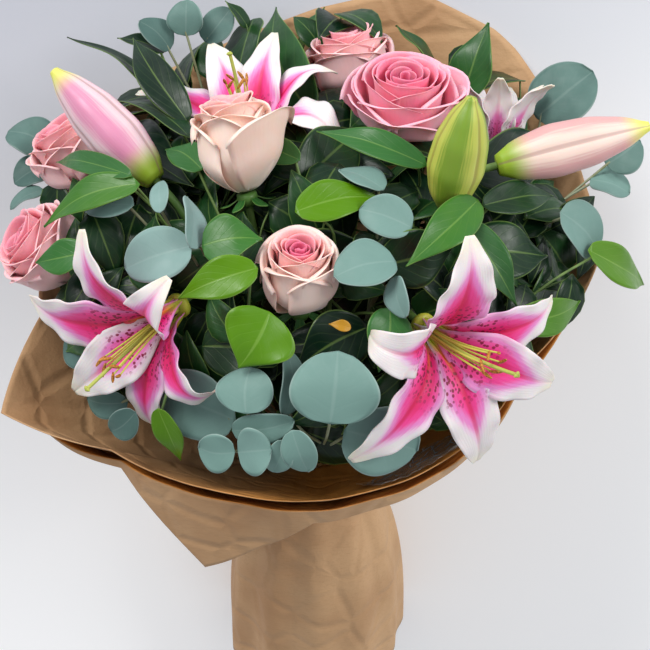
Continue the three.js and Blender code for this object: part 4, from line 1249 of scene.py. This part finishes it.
# Each outline's leaf finish and slot, and how woody its trunk and its twigs are.
LEAFY = {
    "round": (eucalyptus_leaf, "eucalyptus_leaf", 1.0, 0.8),
    "pointed": (green_leaf, "green_leaf", 0.2, 0.1),
}
for number, stem in enumerate(stems):
    if "leaves" not in stem:
        continue
    name, kind = stem["name"], stem["outline"]
    material, slot, woody_trunk, woody_twig = LEAFY[kind]
    blades = Sheets(("tone",))
    bars = [(rounded(stem["trunk"]), stem["radius"], woody_trunk)]
    for leaf, tried, order, rows in stem["placed"]:
        blade = fine_leaf(*leaf_basis(leaf, tried), kind, number * 17 + order)
        blades.add(blade, 0.7, tone=leaf[7])
        bars.append((rounded(twig_path(stem, leaf, tried, order, rows)), 1.0, woody_twig))
    show(name + "_leaves", blades.mesh(name), material, slot, name)
    show_bars(name + "_stem", bars, 8, stem_finish, "stem", name)

# %% [markdown]
# ## Leaves deep in the bunch
#
# A full bunch shows only leaves and shade between its flowers. More leaves stand deep inside it,
# each on a twig of a leafy stem that passes near, and they are given the darkest green tones, near
# black: partly their own colour and partly painted shade. Places are drawn at random, and one is
# kept only if the leaf is inside the paper, over the table and clear of all solids. There are many,
# so a Geometry Nodes tree sets one simple leaf at each place.

# %% Places for the deep leaves
FILL_TRIES = 60
DEEP_LAYERS = ((24, 78), (80, 128))  # from how far to how far below the dome
DEEP_OVAL = ((318, 235), (268, 200))
DEEP_LENGTHS = (38, 62)
FILL_CLEAR = 0.0022  # metres that a deep leaf keeps from every solid
TABLE_CLEAR = 0.005  # and from the table, which the paper lies on


def solid_tree(*nodes):
    """One tree of the faces of some solids, to find what is near or in the way."""
    points, faces = [], []
    for node in nodes:
        faces += [[len(points) + i for i in face.vertices] for face in node.data.polygons]
        points += [vertex.co for vertex in node.data.vertices]
    return BVHTree.FromPolygons(points, faces)


everything = solid_tree(*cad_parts.values())
inner_paper = solid_tree(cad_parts["kraft_inner_sheet"])
tied = Vector(lay(np.array([0.0, 0.0, 30.0])))
random = np.random.default_rng(7)


def simple_leaf(rows=6, columns=5):
    """A pointed leaf along +Y with its foot at the origin, 1 long, facing +Z."""
    U, Vv = across_along(columns, rows + 1)
    half = 0.29 * np.sin(np.pi * Vv**0.74) ** 0.75 * (1.04 - 0.34 * Vv**2.5) + 0.006
    rise = 0.10 * 4 * Vv * (1 - Vv) + 0.15 * half * np.abs(U) - 0.06 * Vv**3
    return np.stack([half * U, Vv, rise], -1)


def in_the_paper(point):
    """Whether nothing of the inner sheet stands between the tie and the point."""
    way = point - tied
    return inner_paper.ray_cast(tied, way.normalized(), way.length)[0] is None


template = simple_leaf().reshape(-1, 3)


def is_free(corners):
    """Whether a leaf with these corners is over the table, in the paper and clear of all."""
    if corners[:, 2].min() < TABLE_CLEAR or not all(in_the_paper(Vector(p)) for p in corners):
        return False
    return all(everything.find_nearest(Vector(p), FILL_CLEAR)[0] is None for p in corners)


def deep_place(across, down, low, high):
    """A random leaf near a spot of the picture: its foot, its directions and its length."""
    jitter = random.uniform(-15, 15, 2)
    spot = seen(across + jitter[0], down + jitter[1], -random.uniform(low, high))
    up = unit(outward(spot) * 0.5 + TO_EYE * 0.5 + random.normal(0, 0.28, 3))
    way = np.cross(up, random.normal(0, 1, 3))
    way = unit(way + unit(spot) * 0.5 * np.linalg.norm(way))
    way = unit(way - up * (way @ up))
    long = random.uniform(*DEEP_LENGTHS)
    return spot - way * long / 2, np.column_stack([np.cross(way, up), way, up]), long


def first_free(across, down, low, high):
    for _ in range(FILL_TRIES):
        foot, turn, long = deep_place(across, down, low, high)
        if is_free(lay(template * long @ turn.T + foot)):
            return [(foot, turn, long)]
    return []


places = []
for low, high in DEEP_LAYERS:
    for across in range(40, 640, 30):
        for down in range(40, 500, 30):
            if in_oval(across, down, *DEEP_OVAL):
                places += first_free(across, down, low, high)
print("deep leaves:", len(places))

# %% One tree sets them all
leaves_tree, n, given, result = geometry_tree("leaves at places", {"Leaf": "Object", "Finish": "Material"})
info = n.tree.nodes.new("GeometryNodeObjectInfo")
n.feed(info.inputs["Object"], given["Leaf"])
turned = n.trait("turned", "FLOAT_VECTOR")
long = n.trait("long")
rotation = n.add("FunctionNodeEulerToRotation", {"Euler": turned})
set_out = n.add(
    "GeometryNodeInstanceOnPoints",
    {"Points": given["Geometry"], "Instance": info.outputs["Geometry"], "Rotation": rotation, "Scale": long},
)
n.feed(result["Geometry"], finished_geometry(n, set_out, given["Finish"]))

one = Sheets()
one.add(simple_leaf() * 1000, 14.0)
leaf_mesh = one.mesh("one leaf")
shape = np.array(one.points[0]) / 1000
leaf_mesh.vertices.foreach_set("co", shape.ravel())
leaf_object = put("one leaf", leaf_mesh)

laid = np.column_stack([lay_way(np.eye(3)[k]) for k in range(3)])
source = bpy.data.meshes.new("leaf places")
source.from_pydata(lay(np.array([foot for foot, _, _ in places])).tolist(), [], [])
angles = [Matrix((laid @ turn).tolist()).to_euler() for _, turn, _ in places]
source.attributes.new("turned", "FLOAT_VECTOR", "POINT").data.foreach_set("vector", np.array(angles).ravel())
set_trait(source, "long", [long / 1000 for _, _, long in places])
# painted shade: the deep leaves get tones from 0 to 0.25, close to the near-black deepest green
set_trait(source, "tone", random.uniform(0.0, 0.25, len(places)))
mesh = run_tree(source, leaves_tree, Leaf=leaf_object, Finish=green_leaf)
bpy.data.objects.remove(leaf_object)
show("deep_leaves", mesh, green_leaf, "green_leaf")

# %% Their twigs
leafy = [s for s in stems if "leaves" in s]
twigs = []
for foot, turn, long in places:
    forks = ((i, t) for i in range(len(leafy)) for t in (0.2, 0.5, 0.8))
    i, t = min(forks, key=lambda f: (np.linalg.norm(on_branch(leafy[f[0]], f[1]) - foot), *f))
    bend = mix(foot, on_branch(leafy[i], t), 0.35) - turn[:, 1] * 6
    hold = foot + turn[:, 1] * 3 + turn[:, 2] * 0.6
    twigs.append((rounded([on_branch(leafy[i], t), bend, hold]), 0.8, 0.1))
show_bars("deep_twigs", twigs, 5, stem_finish, "stem")

# %% [markdown]
# ## Flower stems
#
# A rose sits on a green hip with five narrow sepals that fold back. A lily stem divides into a
# stalk for each flower and bud.

# %% Lily and rose stems
def sepal(rose, k):
    U, Vv = across_along(7, 13)
    out, z = 5.5 + 15.5 * Vv, -3.5 - 3.2 * np.sin(np.pi * Vv) - 5.5 * Vv**2
    half = 3.6 * np.sin(np.pi * (0.12 + 0.86 * Vv)) ** 0.8
    z = z + 0.12 * half * np.abs(U)
    return placed(fanned(out, half * U, z, math.radians(36 + 72 * k)), rose["place"])


for stem in stems:
    if "leaves" in stem:
        continue
    name, trunk, ways = stem["name"], stem["trunk"], stem["ways"]
    if len(ways) == 1:
        paths = [(rounded(trunk + ways[0]), stem["radius"], 0.0)]
    else:
        fork = trunk[ELBOW] * 0.15 + trunk[HEAD] * 0.85
        stalks = [(rounded([fork, trunk[HEAD], *way]), stem["radius"] * 0.78, 0.0) for way in ways]
        paths = [(rounded(trunk), stem["radius"], 0.0), *stalks]
    show_bars(name + "_fine", paths, 12, stem_finish, "stem", name)
    if "rose" in stem:
        rose = stem["rose"]
        green = Sheets(("tone",))
        for k in range(5):
            green.add(sepal(rose, k), 0.7, tone=0.5)
        hip, faces = lathe([(0, -11), (3, -10.5), (6, -8), (7.4, -4), (7, -0.5), (0, -0.4)], 20)
        green.solid(placed(hip, rose["place"]), faces, tone=0.5)
        show(name + "_calyx", green.mesh(name), green_leaf, "stem", name)

# %% [markdown]
# ## Kraft paper
#
# Two sheets are gathered round the stems, so that they open upwards as a cone and, below
# the tie, as a skirt. The rims are wavy and two corners stick out. Near the tie the paper is
# pressed into narrow gathers, which die out up the cone as soft folds.

# %% The sheets' rules
INNER_RIM = np.array([
    [-180, 262, 288], [-147, 236, 238], [-125, 222, 208], [-98, 208, 178], [-81.8, 204, 168],
    [-65.5, 245, 138], [-49, 190, 124], [-25, 172, 117], [3, 167, 118], [25, 168, 126], [42, 165, 130],
    [65.5, 166, 152], [82, 190, 164], [98, 220, 174], [115, 236, 198], [131, 256, 228], [147, 272, 272],
    [163.6, 272, 304], [180, 262, 288]])
OUTER_SHARE = np.array([
    [-180, 0.82], [-125, 0.82], [-96, 0.84], [-68, 0.8], [-45, 0.9], [-20, 0.9], [25, 0.9], [70, 0.94],
    [100, 0.84], [135, 0.82], [180, 0.82]])
SHEET_NECK = TIE_RADIUS + 4.3
NECK_GATHERS = 11
HEM_FOOT, SKIRT_RADIUS = -228.0, 77.0


def on_table(x, y, z, above):
    lowest = (TABLE_BELOW - above + z * math.sin(LIE_TILT)) / math.cos(LIE_TILT)
    return np.stack([x, np.minimum(y, lowest), z], -1)


def folds(turn, up):
    """Soft folds that run up the cone, in millimetres: deeper half way up than at either end."""
    a = np.radians(turn)
    run = 1.5 * np.sin(7 * a + 1.3) + 1.1 * np.sin(13 * a + 2.1 * up) + 0.8 * np.sin(23 * a - 1.5 * up + 0.6)
    return run * np.clip(np.sin(np.pi * np.clip(up, 0, 1) * 0.93), 0, 1)


def cone(turn, up, out, above):
    a = np.radians(turn)
    radius = np.interp(turn, INNER_RIM[:, 0], INNER_RIM[:, 1])
    height = np.interp(turn, INNER_RIM[:, 0], INNER_RIM[:, 2])
    neck = SHEET_NECK + 1.2 * np.cos(a * NECK_GATHERS)
    r = mix(neck, radius, up**0.86) + out + folds(turn, up)
    return on_table(r * np.sin(a), -r * np.cos(a), mix(0, height, up**1.12), above)


def outer_cone(turn, t):
    return cone(turn, t * np.interp(turn, *OUTER_SHARE.T), 3.6 + 6 * t * t, 0.4)


def skirt(turn, t):
    """t is 0 at the neck and 1 at the hem."""
    a = np.radians(turn)
    neck = SHEET_NECK + 3.6 + 1.2 * np.cos(a * NECK_GATHERS)
    soft = t * (3.0 * np.sin(4 * a + 0.7) + 1.4 * np.sin(9 * a))
    r = neck + (SKIRT_RADIUS - neck) * (1 - (1 - t) ** 2.6) + 2.6 * t * np.cos(a * NECK_GATHERS) + soft * 0.6
    return on_table(r * np.sin(a), -r * np.cos(a), HEM_FOOT * t**1.15, 0.4)


def paper_colour(n):
    place = n.object_place()
    fibre = n.noise(n.stretch(place, (120.0, 900.0, 420.0)), 1.0, 4.0)
    cloud = n.noise(place, 9.0, 3.0)
    tan = n.blend(n.range(cloud, 0.35, 0.65), srgb("#aa825b"), srgb("#c29c73"))
    # painted light: the paper's inner face is turned orange for the light that glances off it and shines
    # through it
    inside = n.blend(n.number("inside"), tan, srgb("#dd9440"))
    return n.blend(n.times(n.range(fibre, 0.45, 0.75), 0.22), inside, srgb("#94703f"))


def paper_height(n):
    place = n.object_place()
    cells = n.cells(place, 26.0, "DISTANCE_TO_EDGE")
    crease = n.range(cells, 0.0, 0.16)
    grain = n.noise(place, 420.0, 4.0)
    soft = n.noise(place, 22.0, 3.0)
    return n.plus(n.times(crease, 0.45), n.plus(n.times(grain, 0.12), soft))


kraft = finish("kraft paper", paper_colour, 0.7, paper_height, strength=0.65, distance=0.0035)

# %% The sheets
PAPER_COLUMNS = 264


def warm(turn):
    """How orange the paper's inner face looks: most at the front, where light glances off it."""
    return smooth(1.35 - np.abs(turn - 25) / 62)


turns = np.linspace(-180, 180, PAPER_COLUMNS + 1)[:-1]
inner = Sheets(("inside",))
T, Up = np.meshgrid(turns, np.linspace(0, 1, 60))
# painted light on the inner sheet's inner face, strongest at the front
inner.add(cone(T, Up, 0, 3.4), 0.8, ring=True, inside=(0.0, warm(T)))
show("kraft_inner_sheet_fine", inner.mesh("kraft inner"), kraft, "kraft_paper", "kraft_inner_sheet")

outer = Sheets(("inside",))
T, down = np.meshgrid(turns, np.linspace(1, 0, 40)[:-1])
low = skirt(T, down)
T, Up = np.meshgrid(turns, np.linspace(0, 1, 50))
# painted light: the whole inner face of the outer sheet takes the orange
outer.add(np.concatenate([low, outer_cone(T, Up)]), 0.8, ring=True, inside=(0.0, 1.0))

# The loose front edge: how far it hangs from the rim (right, back, up) at turns one cell apart.
WING_TURNS = -180 + 360 * np.arange(7, 16) / 22
WING_DROP = np.array([
    [0, 0, 0], [0, -1, -6], [13.9, -3.9, -78], [9, 3, -47], [0, 4, -16], [0, 4, -14], [0, 3, -10],
    [0, 2, -6], [0, 0, 0]])
turn = np.linspace(WING_TURNS[0], WING_TURNS[-1], 113)
edge = outer_cone(turn, np.ones_like(turn))
drop = np.stack([np.interp(turn, WING_TURNS, side) for side in WING_DROP.T], -1)
v = np.linspace(0, 1, 25)[:, None, None]
outer.add(edge[None] + drop[None] * v, 0.8)
show("kraft_outer_sheet_fine", outer.mesh("kraft outer"), kraft, "kraft_paper", "kraft_outer_sheet")

# %% [markdown]
# ## Clear film and twine
#
# A crinkled clear film lines the front of the paper. Below, a coil of jute twine grips the stems
# and another gathers the paper. Twine is two strands laid round each other, so its tree sweeps
# two circles that wind about the path.

# %% Film
film_colour = srgb("#dfe2e0")
film = finish(
    "clear film",
    film_colour,
    0.12,
    lambda n: n.cells(n.object_place(), 90.0),
    strength=0.8,
    distance=0.002,
)
n = Nodes(film.node_tree)
film_shader = film.node_tree.nodes["Principled BSDF"]
creases = n.cells(n.object_place(), 70.0, "DISTANCE_TO_EDGE")
n.feed(film_shader.inputs["Alpha"], n.range(creases, 0.0, 0.06, 0.75, 0.22))
FILM_TURNS, FILM_UP = (16.4, 49.1), (0.6, 0.992)  # the stretch of the cone that it lines
liner = Sheets()
T, Up = np.meshgrid(np.linspace(*FILM_TURNS, 60), np.linspace(*FILM_UP, 40))
base = cone(T, Up, -2.4 - 1.2 * Up, 3.4)
crinkle = 0.7 * np.sin(T * 1.7 + 9 * Up) + 0.6 * np.sin(T * 0.9 - 23 * Up)
base[..., :2] *= 1 - (crinkle / np.linalg.norm(base[..., :2], axis=-1))[..., None] * 0.5
liner.add(base, 0.3)
show("clear_film_liner_fine", liner.mesh("film"), film, "clear_film", "clear_film_liner")

# %% Twine
cord_inputs = {"Strand": "Float", "Pitch": "Float", "Finish": "Material"}
cord_tree, n, given, result = geometry_tree("twisted cord", cord_inputs)
curve = n.add("GeometryNodeMeshToCurve", {"Mesh": given["Geometry"]})
length = n.add("GeometryNodeSplineParameter", out="Length")
tangent = n.add("GeometryNodeInputTangent")
normal = n.add("GeometryNodeInputNormal")
sideways = n.add("ShaderNodeVectorMath", {0: tangent, 1: normal}, operation="CROSS_PRODUCT")
strands = n.tree.nodes.new("GeometryNodeJoinGeometry")
for k in range(2):
    winding = n.plus(n.times(n.math("DIVIDE", length, given["Pitch"]), 2 * math.pi), k * math.pi)
    parts = []
    for way, wave in ((normal, "COSINE"), (sideways, "SINE")):
        scaled = n.times(n.math(wave, winding), given["Strand"])
        parts.append(n.add("ShaderNodeVectorMath", {0: way, "Scale": scaled}, operation="SCALE"))
    offset = n.add("ShaderNodeVectorMath", {0: parts[0], 1: parts[1]}, operation="ADD")
    moved = n.add("GeometryNodeSetPosition", {"Geometry": curve, "Offset": offset})
    circle = n.add("GeometryNodeCurvePrimitiveCircle", {"Resolution": 8, "Radius": given["Strand"]})
    swept = n.add("GeometryNodeCurveToMesh", {"Curve": moved, "Profile Curve": circle, "Fill Caps": True})
    n.feed(strands.inputs[0], swept)
n.feed(result["Geometry"], finished_geometry(n, strands.outputs[0], given["Finish"]))



def twine_colour(n):
    fibres = n.range(n.noise(n.object_place(), 700.0), 0.35, 0.65)
    return n.blend(fibres, srgb("#a98550"), srgb("#d6b883"))


twine = finish("jute twine", twine_colour, 0.9, grain(1500.0), strength=0.6)
for node, thick, turns_ in (("stem_binding_twine", 1.6, 4), ("paper_neck_twine", 2.4, 3)):
    corners = np.array([unlay(vertex.co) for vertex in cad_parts[node].data.vertices])
    outside = np.hypot(corners[:, 0], corners[:, 1]).max()
    a = np.linspace(0, 2 * math.pi * turns_, 90 * turns_)
    rise = (a / (2 * math.pi) - turns_ / 2) * thick * (turns_ - 1) / turns_
    r = outside - thick / 2 - 0.1
    path = np.stack([r * np.sin(a), -r * np.cos(a), rise], -1)
    source = path_mesh([(path, 1.0, 0.0)], with_kind=False)
    mesh = run_tree(source, cord_tree, Strand=thick / 4000, Pitch=thick * 3.2 / 1000, Finish=twine)
    show(node + "_fine", mesh, twine, "twine", node)
    print(node, "cord, metres:", round(2 * math.pi * r * turns_ / 1000, 3))

# %% [markdown]
# ## Floor, light and camera
#
# The picture looks down on the bunch, so one pale surface fills the background. Its colour
# carries painted shade, darker towards the top left, and it glows faintly, a painted light that
# brightens it. A broad soft light from the upper left models the petals, and a weaker one from
# the right keeps the shadows open.

# %% Floor
floor_mesh = bpy.data.meshes.new("floor")
floor_mesh.from_pydata([(-4, -4, 0), (4, -4, 0), (4, 4, 0), (-4, 4, 0)], [], [(0, 1, 2, 3)])


def floor_colour_with_shade(n):
    x, y, _ = n.split(n.object_place())
    # painted shade: the floor is darkened towards the top left of the picture
    shade_towards_top = n.range(n.minus(y, n.times(x, 0.35)), -0.15, 0.45)
    return n.blend(shade_towards_top, srgb("#f1f2f3"), srgb("#abaeb8"))


glow_painted_floor = finish("floor", floor_colour_with_shade, 0.75)
floor_glow_shader = glow_painted_floor.node_tree.nodes["Principled BSDF"]
# painted light: the floor glows faintly, though it is no lamp, which brightens it and its shadows
floor_glow_shader.inputs["Emission Color"].default_value = (0.93, 0.96, 1.0, 1.0)
floor_glow_shader.inputs["Emission Strength"].default_value = 0.09
floor_mesh.materials.append(glow_painted_floor)
put("floor", floor_mesh)

# %% Lights
aim = Vector(lay(EYE_AIM))
to_eye, picture_up = Vector(lay_way(TO_EYE)), Vector(lay_way(PICTURE_UP))
picture_right = picture_up.cross(to_eye)


def area_light(name, right, up, near, size, power, colour):
    """A square light at a place given along the picture's own directions, aimed at the flowers."""
    data = bpy.data.lights.new(name, "AREA")
    data.shape, data.size, data.energy, data.color = "SQUARE", size, power, colour
    light = put(name, data)
    light.location = aim + picture_right * right + picture_up * up + to_eye * near
    light.rotation_euler = (aim - light.location).to_track_quat("-Z", "Y").to_euler()


area_light("key", right=-1.8, up=2.2, near=2.6, size=1.8, power=122, colour=(1.0, 0.98, 0.955))
area_light("fill", right=2.6, up=1.0, near=2.2, size=1.6, power=70, colour=(1.0, 0.99, 0.97))
world = bpy.data.worlds.new("studio")
world.use_nodes = True
world.node_tree.nodes["Background"].inputs["Color"].default_value = (0.93, 0.95, 1.0, 1.0)
world.node_tree.nodes["Background"].inputs["Strength"].default_value = 0.52
bpy.context.scene.world = world
bpy.context.scene.view_settings.view_transform = "Standard"

# %% Camera
camera_data = bpy.data.cameras.new("camera")
camera_data.sensor_width = 36
camera_data.lens = PICTURE_LENS / (2 * PICTURE_HALF) * 36
camera = put("camera", camera_data)
columns = (picture_right, picture_up, to_eye, aim + to_eye * (EYE_AWAY / 1000))
camera.matrix_world = Matrix([[c[i] for c in columns] for i in range(3)] + [[0, 0, 0, 1]])
bpy.context.scene.camera = camera
